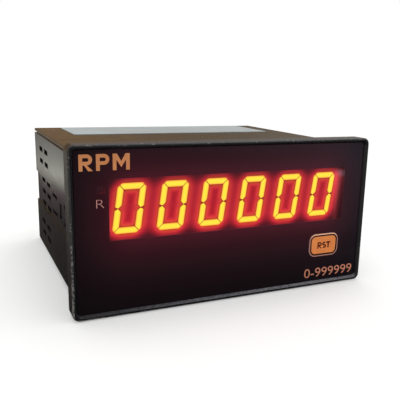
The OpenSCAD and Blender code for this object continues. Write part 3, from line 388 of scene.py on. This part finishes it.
WORN_EDGE = 0.6  # mm in from the outer edge of the bezel's front where the rub starts
# The bezel's lower left corner, where it is rubbed most
WORN_CORNER = (0.5 - BEZEL_HALF[0], BEZEL_FRONT + 0.4, 0.5 - BEZEL_HALF[1])
WORN_NEAR, WORN_FAR = 2, 32  # mm from that corner between which the extra rub fades


def bezel_wear(tree, place):
    """Share of the bezel's surface that is rubbed off: 0.9 mm patches, with more the nearer a point is to
    the worn corner, times how near the point is to the front's outer edge and to the front."""
    inner = [half - WORN_EDGE for half in BEZEL_HALF]
    past_inner = box_distance(tree, place, (0, 0), inner)
    near_edge = add(tree, "MapRange", {"Value": past_inner, "From Min": 0.0, "From Max": 0.4})
    depth = add(tree, "SeparateXYZ", {0: place}, "Y")
    from_front = {"Value": depth, "From Min": (BEZEL_FRONT + 0.3) * MM, "From Max": (BEZEL_FRONT + 1) * MM}
    at_front = add(tree, "MapRange", {**from_front, "To Min": 1.0, "To Max": 0.0})
    corner = [part * MM for part in WORN_CORNER]
    away = add(tree, "VectorMath", {0: place, 1: corner}, "Value", operation="DISTANCE")
    fading = {"Value": away, "From Min": WORN_NEAR * MM, "From Max": WORN_FAR * MM}
    most = add(tree, "MapRange", {**fading, "To Min": 2.9, "To Max": 0.0})
    patches = add(tree, "Math", {0: mottle(tree, place, 0.9, -5.2, 1.6, 5.0), 1: most}, operation="ADD")
    held = add(tree, "Math", {0: near_edge, 1: at_front}, operation="MULTIPLY")
    return add(tree, "Math", {0: held, 1: patches}, operation="MULTIPLY", use_clamp=True)


SLOPE_TOP, SLOPE_FOOT = -21, -22  # heights in mm between which a highlight is painted on the slope below the film
HIGHLIGHT_LEFT, HIGHLIGHT_RIGHT = -46, 30  # mm along X between which the painted highlight brightens


def bezel_painted_highlight(tree, place):
    """Share of the bezel's surface under painted light: a painted highlight in specks on the slope below the
    film, where overhead light would be mirrored, more of it towards the right, and a thin even layer of
    painted light on the level top, whichever is more."""
    x, _, z = add(tree, "SeparateXYZ", {0: place}).node.outputs
    upward = add(tree, "SeparateXYZ", {0: add(tree, "NewGeometry", out="Normal")}, "Z")
    lower = {"Value": z, "From Min": SLOPE_TOP * MM, "From Max": SLOPE_FOOT * MM}
    spread = {"Value": x, "From Min": HIGHLIGHT_LEFT * MM, "From Max": HIGHLIGHT_RIGHT * MM, "To Min": 0.15}
    lying = {"Value": upward, "From Min": 0.4, "From Max": 0.85}
    slope = mottle(tree, place, 0.7, 0.35, 1.5, 4.0)
    for share in (lower, spread, lying):
        factor = add(tree, "MapRange", share)
        slope = add(tree, "Math", {0: slope, 1: factor}, operation="MULTIPLY", use_clamp=share is lying)
    # Painted light on the level top: upward faces are drawn a little paler, as if lit from above
    level = add(tree, "MapRange", {"Value": upward, "From Min": 0.92, "From Max": 0.98, "To Max": 0.3})
    return add(tree, "Math", {0: slope, 1: level}, operation="MAXIMUM")


def bezel_plastic():
    """Glass-filled polycarbonate, moulded in a spark-eroded tool: fine matt grain, rubbed grey along its
    front edges, with a painted highlight on its lower slope and its level top, and duller on the side walls."""
    finish, tree, place = blank("bezel polycarbonate, spark-eroded")
    tone = drifting(tree, place, 7, "#101011", "#161617")
    worn = add(tree, "MixRGB", {"Fac": bezel_wear(tree, place), "Color1": tone, "Color2": "#5f5c5a"})
    # Painted highlight: pale grey where overhead light would catch the lower slope and the level top
    highlighted = add(tree, "MixRGB", {"Fac": bezel_painted_highlight(tree, place), "Color1": worn, "Color2": "#6c6b70"})
    aside = add(tree, "Math", {0: add(tree, "SeparateXYZ", {0: place}, "X")}, operation="ABSOLUTE")
    wall = BEZEL_HALF[0]
    dull = {"Value": aside, "From Min": (wall - 0.15) * MM, "From Max": (wall - 0.02) * MM}
    sockets = {
        "Base Color": highlighted,
        "Roughness": mottle(tree, place, 3, 0.26, 0.32),
        "Specular IOR Level": add(tree, "MapRange", {**dull, "To Min": 0.27, "To Max": 0.15}),
        "Normal": grain(tree, place, 0.5, 0.003),
    }
    coat(tree, sockets)
    return finish


def overlay_film():
    """Polyester film, printed black from behind: smooth, tinted maroon where the display's light creeps in
    it, and worn to a pale brown on the embossed rim, with a painted highlight that makes it palest over the
    rim's upper run."""
    finish, tree, place = blank("front film, back-printed polyester")
    from_key = box_distance(tree, place, KEY_CENTRE, KEY_HALF, KEY_CORNER)
    # Both of the rim's edges are soft over about 0.1 mm
    inner = {"Value": from_key, "From Min": RIM_INSIDE + 0.02, "From Max": RIM_INSIDE + 0.14}
    outer = {"Value": from_key, "From Min": RIM_OUTSIDE + 0.04, "From Max": RIM_OUTSIDE - 0.06}
    edges = {0: add(tree, "MapRange", inner), 1: add(tree, "MapRange", outer)}
    on_rim = add(tree, "Math", edges, operation="MULTIPLY")
    height = add(tree, "SeparateXYZ", {0: place}, "Z")
    # Painted highlight: the rim's upper run is drawn paler, where overhead light would catch it
    top_run = (KEY_CENTRE[1] + KEY_HALF[1]) * MM
    upper = {"Value": height, "From Min": top_run - 0.6 * MM, "From Max": top_run + 0.4 * MM}
    pale = add(tree, "MapRange", upper)
    rim = add(tree, "MixRGB", {"Fac": pale, "Color1": "#a8786a", "Color2": "#ecb898"})
    sockets = {
        "Base Color": add(tree, "MixRGB", {"Fac": on_rim, "Color1": "#040304", "Color2": rim}),
        "Roughness": mottle(tree, place, 6, 0.16, 0.22),
        "Specular IOR Level": 0.4,
        "Emission Color": haze(tree, place),
        "Emission Strength": 1.0,
        "Normal": grain(tree, place, 2.5, 0.004),
    }
    coat(tree, sockets)
    return finish


# Painted glint: a small bluish-grey reflection drawn as emission in the window's upper right corner
GLINT_MIDDLE = (38.3, 12.8)
GLINT_HALF = (1.2, 0.7)
GLINT_CORNER = 0.3


def filter_acrylic():
    """Acrylic, cast and dyed smoke red: clear to the bright segments, black where nothing is lit behind it,
    with the last digit's halo in it and a painted glint in its upper right corner: a small bluish-grey
    reflection, drawn as emission."""
    finish, tree, place = blank("display filter, smoked acrylic")
    from_glint = box_distance(tree, place, GLINT_MIDDLE, GLINT_HALF, GLINT_CORNER)
    fading = add(tree, "MapRange", {"Value": from_glint, "From Min": 0.7, "From Max": -0.3})
    # The painted glint's colour, faded out round its box
    painted_glint = add(tree, "VectorMath", {0: linear("#163a45")[:3], "Scale": fading}, operation="SCALE")
    more = add(tree, "VectorMath", {0: last_halo(tree, place), 1: painted_glint}, operation="ADD")
    sockets = {
        "Base Color": drifting(tree, place, 8, "#060203", "#080304"),
        "Roughness": mottle(tree, place, 6, 0.14, 0.2),
        "Specular IOR Level": 0.4,
        "Emission Color": add(tree, "VectorMath", {0: haze(tree, place), 1: more}, operation="ADD"),
        "Emission Strength": 1 / (1 - FILTER_PASS),
        "Alpha": 0.4,
        "Normal": grain(tree, place, 3, 0.003),
    }
    coat(tree, sockets)
    finish.blend_method = "BLEND"
    return finish


def key_plastic():
    """ABS, moulded with a fine matt top: warm orange, with painted shade in dark brown down its sides, where
    the rim shades them.
    """
    finish, tree, place = blank("key ABS, moulded matt")
    # Painted shade: faces that turn away from the front are drawn dark brown
    facing = add(tree, "SeparateXYZ", {0: add(tree, "NewGeometry", out="Normal")}, "Y")
    down = add(tree, "MapRange", {"Value": facing, "From Min": -0.85, "From Max": -0.45})
    top = drifting(tree, place, 4, "#cc7434", "#d67e3e")
    sockets = {
        "Base Color": add(tree, "MixRGB", {"Fac": down, "Color1": top, "Color2": "#33100a"}),
        "Roughness": mottle(tree, place, 2, 0.45, 0.55),
        "Specular IOR Level": 0.3,
        "Normal": grain(tree, place, 0.3, 0.01),
    }
    coat(tree, sockets)
    return finish


def core_steel():
    """Silicon steel laminations, varnished: grey stripes across the stack. Sheets of 0.5 mm are too fine to
    show, so a stripe is drawn for about every six of them."""
    finish, tree, place = blank("core, varnished laminations")
    # The wave repeats every tau / 20 of its units, which is 3.1 mm here
    stripes = {"Vector": place, "Scale": 0.1 / MM, "Distortion": 0.4, "Detail": 1.0}
    stack = add(tree, "TexWave", stripes, "Fac", bands_direction="X")
    sockets = {
        "Base Color": add(tree, "MixRGB", {"Fac": stack, "Color1": "#4b4a4c", "Color2": "#77777a"}),
        "Metallic": 0.7,
        "Roughness": mottle(tree, place, 2, 0.35, 0.5),
        "Normal": add(tree, "Bump", {"Height": stack, "Distance": 0.05 * MM}),
    }
    coat(tree, sockets)
    return finish


def board_laminate():
    """Glass-epoxy laminate under green solder mask: semi-gloss, with a faint weave of 0.5 mm yarns."""
    finish, tree, place = blank("board, solder-masked laminate")
    yarns = {"Vector": place, "Scale": 1 / (0.5 * MM), "Color1": "#12502c", "Color2": "#155a32"}
    sockets = {
        "Base Color": add(tree, "TexChecker", yarns),
        "Roughness": mottle(tree, place, 3, 0.25, 0.35),
        "Normal": grain(tree, place, 0.5, 0.01),
    }
    coat(tree, sockets)
    return finish


def label_paper():
    """Coated paper: matt, off-white with a blue cast, faintly soiled."""
    finish, tree, place = blank("label, coated paper")
    soil = mottle(tree, place, 14, 0.0, 1.0, 5.0)
    sockets = {
        "Base Color": add(tree, "MixRGB", {"Fac": soil, "Color1": "#9fa5a6", "Color2": "#959a98"}),
        "Roughness": mottle(tree, place, 5, 0.6, 0.75),
        "Specular IOR Level": 0.3,
        "Normal": grain(tree, place, 0.6, 0.02),
    }
    coat(tree, sockets)
    return finish


# The numbers of a moulding are its roughness, the size and height of its texture in mm, and its gloss, and
# those of a metal are the same three, and how close its marks lie
FINISH = {
    "bezel_plastic": bezel_plastic(),
    # ABS, the case moulded semi-gloss and the cover satin: dark with a brown cast, and a sheen on flat walls
    "case_plastic": moulding("case ABS, moulded semi-gloss", "#201e1c", "#252321", 0.09, 0.8, 0.001),
    "cover_plastic": moulding("cover ABS, moulded satin", "#211c17", "#29221b", 0.24, 0.5, 0.004, 0.46),
    "overlay_film": overlay_film(),
    "filter_acrylic": filter_acrylic(),
    # Polycarbonate reflector, painted dark: its face shows the red halo of the lit segments
    "digit_face": glow("digit face, painted polycarbonate", FACE_LIGHT, radius=2.0, roughness=0.6),
    # Diffusing epoxy in the lit wells: yellow in the middle and amber at its edges
    "segment_lit": glow("lit segment, diffusing epoxy", LIT_LIGHT, radius=1.0, roughness=0.4, falling=False),
    # The same epoxy, unlit, in the middle segments and points: it takes the halo of its neighbours
    "segment_unlit": glow("unlit segment, diffusing epoxy", UNLIT_LIGHT, radius=2.0, roughness=0.4),
    # Epoxy lamp lens, unlit: dull maroon
    "lamp_lens": moulding("lamp lens, tinted epoxy", "#4a3238", "#523840", 0.35, 1.0, 0.01),
    "key_plastic": key_plastic(),
    # Epoxy, polyester and nylon of the components, moulded: plain colours with a slight sheen
    "black_plastic": moulding("component epoxy, moulded black", "#1a1a1b", "#232324", 0.5, 0.2, 0.01),
    "cream_plastic": moulding("component polyester, moulded cream", "#cfc9b8", "#c4bda9", 0.45, 0.3, 0.01),
    "terminal_plastic": moulding("terminal nylon, moulded green", "#2f6b45", "#275c3a", 0.42, 0.4, 0.015),
    # Thin skins over components: PVC shrunk smooth, lacquer dipped uneven, polyester tape wrapped slack
    "capacitor_sleeve": moulding("capacitor sleeve, shrunk PVC", "#16203a", "#1b2744", 0.28, 1.5, 0.02),
    "resistor_lacquer": moulding("resistor, dipped lacquer", "#b98c5c", "#c79a68", 0.35, 0.6, 0.02),
    "winding_tape": moulding("winding, polyester tape", "#cf9a1f", "#dba92e", 0.3, 2.0, 0.05),
    # Tin, zinc and gold, plated: bright with faint clouds from the barrel
    "tinned_metal": metal("contact, tin-plated brass", "#c4c6c9", "#b2b4b8", 0.3, 0.4, 0.004),
    "plated_steel": metal("screw steel, zinc-plated", "#c9ccd0", "#a9adb4", 0.34, 0.3, 0.006),
    "gold_plated": metal("pin, gold-plated bronze", "#e0b558", "#cfa24a", 0.22, 0.4, 0.003),
    # Bronze, rolled, with its marks flattened, and aluminium, extruded, with streaks along the fins
    "spring_bronze": metal("dome, rolled bronze", "#b98e55", "#a67d49", 0.3, 0.5, 0.004, (1, 6, 1)),
    "sink_aluminium": metal(
        "heat sink, extruded aluminium", "#b9bcc0", "#a4a7ac", 0.36, 0.25, 0.01, (1, 1, 0.1)
    ),
    "core_steel": core_steel(),
    "board_laminate": board_laminate(),
    "label_paper": label_paper(),
}

# Screen-print ink: matt, a little uneven, and standing just proud of what it is printed on
INK = moulding("screen ink, orange", "#c27e50", "#b67344", 0.55, 0.3, 0.01, 0.3)
INK_SMALL = moulding("screen ink, light orange", "#b8755a", "#ac6a50", 0.55, 0.3, 0.01, 0.3)
INK_ROSE = moulding("screen ink, rose", "#bc827a", "#b0766e", 0.55, 0.3, 0.01, 0.3)
INK_DARK = moulding("screen ink, dark brown", "#481404", "#561a08", 0.7, 0.3, 0.01, 0.1)

SLOT_OF = {row["node"]: row["material_slot"] for row in frame["record"]["subparts"]}
for name, piece in frame["nodes"].items():
    piece.data.materials.clear()
    piece.data.materials.append(FINISH[SLOT_OF[name]])


# Moulded parts with rounded edges


def weigh_normals(mesh, crease):
    """Gives every corner of a mesh the mean normal of the faces round its vertex, weighted by area, less
    those that turn away from the corner's own face by more than `crease` degrees. Flat walls then stay flat
    up to their fillets, and mirror without bends."""
    faces, corners = len(mesh.polygons), len(mesh.loops)
    normal, area = np.zeros(faces * 3, np.float32), np.zeros(faces, np.float32)
    count, vertex = np.zeros(faces, np.int32), np.zeros(corners, np.int32)
    mesh.polygons.foreach_get("normal", normal)
    mesh.polygons.foreach_get("area", area)
    mesh.polygons.foreach_get("loop_total", count)
    mesh.loops.foreach_get("vertex_index", vertex)
    normal = normal.reshape(-1, 3)
    face = np.repeat(np.arange(faces), count)
    # Every pair of corners that share a vertex
    order = np.argsort(vertex, kind="stable")
    first, shared = np.unique(vertex[order], return_index=True, return_counts=True)[1:]
    spread = np.repeat(shared, shared)
    own = np.repeat(order, spread)
    step = np.arange(len(own)) - np.repeat(np.cumsum(spread) - spread, spread)
    other = order[np.repeat(np.repeat(first, shared), spread) + step]
    near = (normal[face[own]] * normal[face[other]]).sum(1) > math.cos(math.radians(crease))
    total = np.zeros((corners, 3))
    np.add.at(total, own[near], (normal * area[:, None])[face[other[near]]])
    total /= np.linalg.norm(total, axis=1, keepdims=True)
    mesh.normals_split_custom_set(total.tolist())


CHAMFER_REACH = 0.55  # mm, a little more than the 0.5 mm chamfer round the bezel's front


def on_outline(spot):
    """Whether a place in metres is on either edge of the chamfer round the bezel's front: within
    CHAMFER_REACH of the front, and as near to an outline whose corners have the radius BEZEL_CORNER."""
    x, y, z = spot / MM
    past = (max(abs(side) - half + BEZEL_CORNER, 0) for side, half in zip((x, z), BEZEL_HALF))
    return y < BEZEL_FRONT + CHAMFER_REACH and math.hypot(*past) > BEZEL_CORNER - CHAMFER_REACH


def rounded(node, radius, front=0.0):
    """A copy of a CAD node with its edges rounded: its loose triangles are joined, faces in one plane
    become one face, and every edge sharper than 30 degrees gets a fillet of `radius` mm. Where `front` is
    above 0 the chamfer round the bezel's front gets that radius instead."""
    mesh = frame["nodes"][node].data.copy()
    work = bmesh.new()
    work.from_mesh(mesh)
    bmesh.ops.remove_doubles(work, verts=work.verts, dist=0.002 * MM)
    bmesh.ops.dissolve_limit(work, angle_limit=math.radians(0.5), verts=work.verts, edges=work.edges)
    width = max(radius, front)
    weight = work.edges.layers.float.new("bevel_weight_edge")
    for edge in work.edges:
        if edge.calc_face_angle(0.0) > math.radians(30):
            at_front = front and all(on_outline(spot.co) for spot in edge.verts)
            edge[weight] = (front if at_front else radius) / width
    for face in work.faces:
        face.smooth = True  # so that the mean normals hold
    work.to_mesh(mesh)
    work.free()
    piece = bpy.data.objects.new(node + "_moulded", mesh)
    scene.collection.objects.link(piece)
    fillet = piece.modifiers.new("Fillet", "BEVEL")
    fillet.width, fillet.segments, fillet.limit_method = width * MM, 2, "WEIGHT"
    shaped = piece.evaluated_get(bpy.context.evaluated_depsgraph_get())
    piece.data = bpy.data.meshes.new_from_object(shaped)
    piece.modifiers.clear()
    weigh_normals(piece.data, crease=50)
    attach(piece, frame["nodes"][node]["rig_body"])
    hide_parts(node)


rounded("front_bezel", 0.12, 0.33)
for node, radius in {
    "front_overlay": 0.04,
    "case_body": 0.1,
    "top_cover": 0.2,
    "rear_cover": 0.15,
    "reset_key": 0.12,
    "supply_terminals": 0.12,
    "signal_terminals": 0.12,
}.items():
    rounded(node, radius)


# Prints

INK_THICKNESS = 0.04  # mm that a print stands off its plane


def printed(name, curve, centre, height, width, front, ink, carrier):
    """Print `height` by `width` mm on the node `carrier`, with its middle at `centre` in X and Z and its
    back on the plane `front` in Y. The curve is made a mesh, scaled to size and turned forward."""
    curve.extrude = INK_THICKNESS / 2
    holder = bpy.data.objects.new(name, curve)
    mesh = bpy.data.meshes.new_from_object(holder)
    bpy.data.objects.remove(holder)
    spots = np.zeros(len(mesh.vertices) * 3, np.float32)
    mesh.vertices.foreach_get("co", spots)
    spots = spots.reshape(-1, 3)
    low, high = spots.min(0), spots.max(0)
    share = (spots - (low + high) / 2) / (high - low)
    across = centre[0] + share[:, 0] * width
    deep = front - INK_THICKNESS / 2 - share[:, 2] * INK_THICKNESS
    up = centre[1] + share[:, 1] * height
    placed = np.column_stack([across, deep, up]) * MM
    mesh.vertices.foreach_set("co", placed.astype(np.float32).ravel())
    mesh.materials.clear()
    mesh.materials.append(ink)
    piece = bpy.data.objects.new(name, mesh)
    scene.collection.objects.link(piece)
    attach(piece, frame["nodes"][carrier]["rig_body"])


def words(text, bold=0.0):
    """Curve of a text in the built-in font, its outlines moved out by `bold` of the letters' size."""
    curve = bpy.data.curves.new(text, "FONT")
    curve.body, curve.offset, curve.resolution_u = text, bold, 6
    return curve


def block_letters(letters):
    """Flat curve of letters drawn as outlines of points in mm. `letters` holds the place along X of each
    letter and its outlines; an outline inside another one is a hole."""
    curve = bpy.data.curves.new("letters", "CURVE")
    curve.dimensions, curve.fill_mode = "2D", "BOTH"
    for start, outlines in letters:
        for outline in outlines:
            spline = curve.splines.new("POLY")
            spline.points.add(len(outline) - 1)
            for point, (x, y) in zip(spline.points, outline):
                point.co = (start + x, y, 0, 1)
            spline.use_cyclic_u = True
    return curve


def bowl(radius):
    """Right half of a circle round the middle of a letter's bowl, from its top to its bottom."""
    turns = np.linspace(np.pi / 2, -np.pi / 2, 15)
    return [(2.1 + radius * math.cos(turn), 2.975 + radius * math.sin(turn)) for turn in turns]


def letter_s():
    """A band 1 mm wide along arcs of two ellipses: the upper from 40 to 270 degrees, the lower back."""
    turns = np.radians(np.append(np.linspace(40, 270, 16), np.linspace(90, -140, 16)))
    heights = np.repeat([3.05, 1.35], 16)
    line = np.column_stack([1.65 + 1.15 * np.cos(turns), heights + 0.85 * np.sin(turns)])
    along = np.gradient(line, axis=0)
    across = np.column_stack([-along[:, 1], along[:, 0]]) / np.linalg.norm(along, axis=1, keepdims=True) / 2
    return [[*(line + across).tolist(), *(line - across)[::-1].tolist()]]


# The letters are 4.4 mm high with strokes 1 mm wide. The eye is the hole of the P and the R
EYE = [(1, 2.5), (1, 3.45), *bowl(0.475)]
LETTER_P = [[(0, 0), (0, 4.4), *bowl(1.425), (1, 1.55), (1, 0)], EYE]
LETTER_R = [[(0, 0), (0, 4.4), *bowl(1.425), (3.7, 0), (2.45, 0), (1.4, 1.55), (1, 1.55), (1, 0)], EYE]
LETTER_M = [
    [(0, 0), (0, 4.4), (1.15, 4.4), (2.3, 2.35), (3.45, 4.4), (4.6, 4.4), (4.6, 0)]
    + [(3.6, 0), (3.6, 2.75), (2.3, 0.75), (1, 2.75), (1, 0)]
]
LETTER_T = [[(0, 4.4), (3.4, 4.4), (3.4, 3.4), (2.2, 3.4), (2.2, 0), (1.2, 0), (1.2, 3.4), (0, 3.4)]]
RPM = block_letters([(0, LETTER_R), (4.5, LETTER_P), (8.9, LETTER_M)])
RST = block_letters([(0, LETTER_R), (3.95, letter_s()), (7.35, LETTER_T)])
RANGE = words("0-999999")
LAMP = words("R", -0.026)

# Each print's curve, centre, height and width in mm, and the plane that it stands on
printed("print_rpm", RPM, (-38.4, 19.25), 4.4, 13.5, FILM_FRONT, INK, "front_overlay")
printed("print_range", RANGE, (35.7, -19.85), 3.1, 19.0, FILM_FRONT, INK_SMALL, "front_overlay")
printed("print_lamp", LAMP, (-39.75, 8.15), 2.3, 2.15, FILM_FRONT, INK_ROSE, "front_overlay")
printed("print_key", RST, KEY_CENTRE, 2.1, 5.0, KEY_FRONT, INK_DARK, "reset_key")

# Camera, floor, room and lights

CAMERA_PLACE = (-73.24, -149.19, 40.79)
CAMERA_AHEAD = (0.4268, 0.8773, -0.2197)
CAMERA_UP = (0.0715, 0.2095, 0.9752)
CAMERA_SHIFT = (-0.0625, 0.0175)
LENS, SENSOR = 50.38, 36.0


def add_camera():
    """The camera at the photograph's viewing angle: it looks ahead, with its right hand square to both the
    way ahead and the way up."""
    camera = bpy.data.objects.new("camera", bpy.data.cameras.new("camera"))
    scene.collection.objects.link(camera)
    ahead = Vector(CAMERA_AHEAD).normalized()
    right = ahead.cross(Vector(CAMERA_UP)).normalized()
    turn = Matrix((right, right.cross(ahead), -ahead)).transposed().to_4x4()
    camera.matrix_world = Matrix.Translation(Vector(CAMERA_PLACE) * MM) @ turn
    camera.data.lens, camera.data.sensor_width = LENS, SENSOR
    camera.data.shift_x, camera.data.shift_y = CAMERA_SHIFT
    camera.data.clip_start = 0.01
    scene.camera = camera


add_camera()
scene.view_settings.view_transform = "Standard"

# The indicator stands on the bezel's lower edge, at the panel seat, and on the case's lower rear edge
CASE_LOW, CASE_HIGH = corners("case_body")
FLOOR_RISE = (CASE_LOW.z - BEZEL_LOW.z) / CASE_HIGH.y
FLOOR_MIDDLE = CASE_HIGH.y / 2
FLOOR_RADIUS = 3000


def floor_paint():
    """Painted board, matt and nearly white, that fades into the white surroundings."""
    finish, tree, place = blank("floor, matt paint")
    away = add(tree, "VectorMath", {0: place}, "Value", operation="LENGTH")
    far = {"Value": away, "From Min": 0.1, "From Max": 0.5, "To Min": 0.25}
    fade = add(tree, "MapRange", far, interpolation_type="SMOOTHSTEP")
    paint = add(tree, "BsdfDiffuse", {"Color": "#f6f6f5"})
    white = add(tree, "Emission", {"Color": "#ffffff", "Strength": 1.0})
    add(tree, "OutputMaterial", {"Surface": add(tree, "MixShader", {"Fac": fade, 1: paint, 2: white})})
    return finish


def add_floor():
    """A round floor: rings of points whose radius grows as the square of their count, on a plane that rises
    towards the rear by FLOOR_RISE from the bezel's lower edge."""
    rings, spokes = 24, 96
    radius = FLOOR_RADIUS * np.linspace(0, 1, rings + 1)[1:] ** 2
    angle = np.linspace(0, 2 * np.pi, spokes, endpoint=False)
    x = np.append(0, np.outer(radius, np.cos(angle)).ravel())
    y = np.append(0, np.outer(radius, np.sin(angle)).ravel()) + FLOOR_MIDDLE
    z = BEZEL_LOW.z + FLOOR_RISE * y
    ring = np.arange(spokes)
    after = (ring + 1) % spokes
    faces = [(0, 1 + a, 1 + b) for a, b in zip(ring, after)]
    for step in range(rings - 1):
        near, far = 1 + step * spokes, 1 + (step + 1) * spokes
        faces += list(zip(near + ring, far + ring, far + after, near + after))
    mesh = bpy.data.meshes.new("floor")
    mesh.from_pydata((np.column_stack([x, y, z]) * MM).tolist(), [], faces)
    mesh.materials.append(floor_paint())
    floor = bpy.data.objects.new("floor", mesh)
    scene.collection.objects.link(floor)
    floor.visible_glossy = False


add_floor()

TABLE_TURN = 0.667  # how much the table's far edge sinks with each step aside
# From straight down to straight up: the table, its lit far edge, the wall and the ceiling
REAR_ROOM = [
    (0.0, "#100f0e"),
    (0.4, "#1e1b19"),
    (0.435, "#2a2424"),
    (0.457, "#504246"),
    (0.47, "#cfcfc2"),
    (0.477, "#adada3"),
    (0.484, "#9e9d96"),
    (0.494, "#84827d"),
    (0.53, "#8a8172"),
    (0.6, "#8a6b48"),
    (0.64, "#86694a"),
    (0.67, "#66533f"),
    (0.7, "#604f42"),
    (0.74, "#766750"),
    (0.84, "#98958f"),
    (0.93, "#98958f"),
    (0.975, "#dcdcde"),
    (1.0, "#ffffff"),
]
# From low on the left to high on the right, where a dim window hangs
FRONT_ROOM = [
    (0.0, "#08080a"),
    (0.14, "#131315"),
    (0.25, "#2e3038"),
    (0.35, "#7c8494"),
    (0.6, "#857a72"),
    (1.0, "#7c6c66"),
]


def rear_room(tree, east, climb):
    """Colour of the mirrored room behind the object: a ramp over the height, to which each step aside adds
    TABLE_TURN of its length."""
    aside = add(tree, "Math", {0: east}, operation="ABSOLUTE")
    bearing = add(tree, "Math", {0: aside, 1: TABLE_TURN, 2: climb}, operation="MULTIPLY_ADD")
    along = add(tree, "MapRange", {"Value": bearing, "From Min": -1.0, "From Max": 1.0})
    return add(tree, "ValToRGB", {"Fac": along}, stops=REAR_ROOM)


def front_room(tree, east, climb):
    """Colour of the mirrored room in front: a ramp over the way right plus 1.5 times the height."""
    slant = add(tree, "Math", {0: climb, 1: 1.5, 2: east}, operation="MULTIPLY_ADD")
    along = add(tree, "MapRange", {"Value": slant, "From Min": -0.4, "From Max": 2.1})
    return add(tree, "ValToRGB", {"Fac": along}, stops=FRONT_ROOM)


def left_walls(tree, east, both):
    """The mirrored room `both` with its left side added: a dim strip just left of the middle, and a bright
    wall on the far left, which the right slope of the bezel mirrors."""
    rise = {"Value": east, "From Min": -0.15, "From Max": -0.115, "To Max": 0.6}
    fall = {"Value": east, "From Min": -0.05, "From Max": -0.1}
    edges = {0: add(tree, "MapRange", rise), 1: add(tree, "MapRange", fall)}
    strip = add(tree, "Math", edges, operation="MULTIPLY")
    walls = add(tree, "MixRGB", {"Fac": strip, "Color1": both, "Color2": "#3a3836"})
    west = add(tree, "MapRange", {"Value": east, "From Min": -0.75, "From Max": -0.95})
    return add(tree, "MixRGB", {"Fac": west, "Color1": walls, "Color2": "#f4efec"})


def add_room():
    """The room: white to look at and to light by. What glossy walls mirror of it is darker, in the colours
    above at one and a half times their strength."""
    room = bpy.data.worlds.new("room")
    scene.world = room
    room.use_nodes = True
    tree = room.node_tree
    tree.nodes.clear()
    way = add(tree, "TexCoord", out="Generated")
    east, north, climb = add(tree, "SeparateXYZ", {0: way}).node.outputs
    behind = add(tree, "MapRange", {"Value": north, "From Min": -0.15, "From Max": 0.15})
    ends = {"Fac": behind, "Color1": front_room(tree, east, climb), "Color2": rear_room(tree, east, climb)}
    mirrored = left_walls(tree, east, add(tree, "MixRGB", ends))
    glossy = add(tree, "LightPath", out="Is Glossy Ray")
    light = add(tree, "MixRGB", {"Fac": glossy, "Color1": "#ffffff", "Color2": mirrored})
    gain = add(tree, "Math", {0: glossy, 1: 0.5, 2: 1.0}, operation="MULTIPLY_ADD")
    add(tree, "OutputWorld", {"Surface": add(tree, "Background", {"Color": light, "Strength": gain})})


add_room()


def softbox(name, spot, target, width, height, watts, mirrored=False):
    """An area light at `spot` that looks at `target`, all in mm, unseen by the camera. One that is only
    `mirrored` lights no matt surface."""
    lamp = bpy.data.lights.new(name, "AREA")
    lamp.shape, lamp.size, lamp.size_y = "RECTANGLE", width * MM, height * MM
    lamp.energy = watts
    holder = bpy.data.objects.new(name, lamp)
    scene.collection.objects.link(holder)
    way = Vector(target) - Vector(spot)
    turn = way.to_track_quat("-Z", "Y").to_matrix().to_4x4()
    holder.matrix_world = Matrix.Translation(Vector(spot) * MM) @ turn
    holder.visible_camera = False
    holder.visible_diffuse = not mirrored


# One light from above, and one that glossy tops mirror
softbox("overhead", (60, 60, 520), (0, 20, 0), 460, 460, 1.0)
softbox("upper_right", (290, -120, 470), (30, 0, 0), 340, 240, 0.5, mirrored=True)
# Two more show the walls to a camera behind the object
softbox("front_left", (-420, -420, -170), (0, 30, 0), 260, 160, 0.35, mirrored=True)
softbox("front_right", (520, -300, -150), (0, 30, 0), 200, 160, 0.3, mirrored=True)
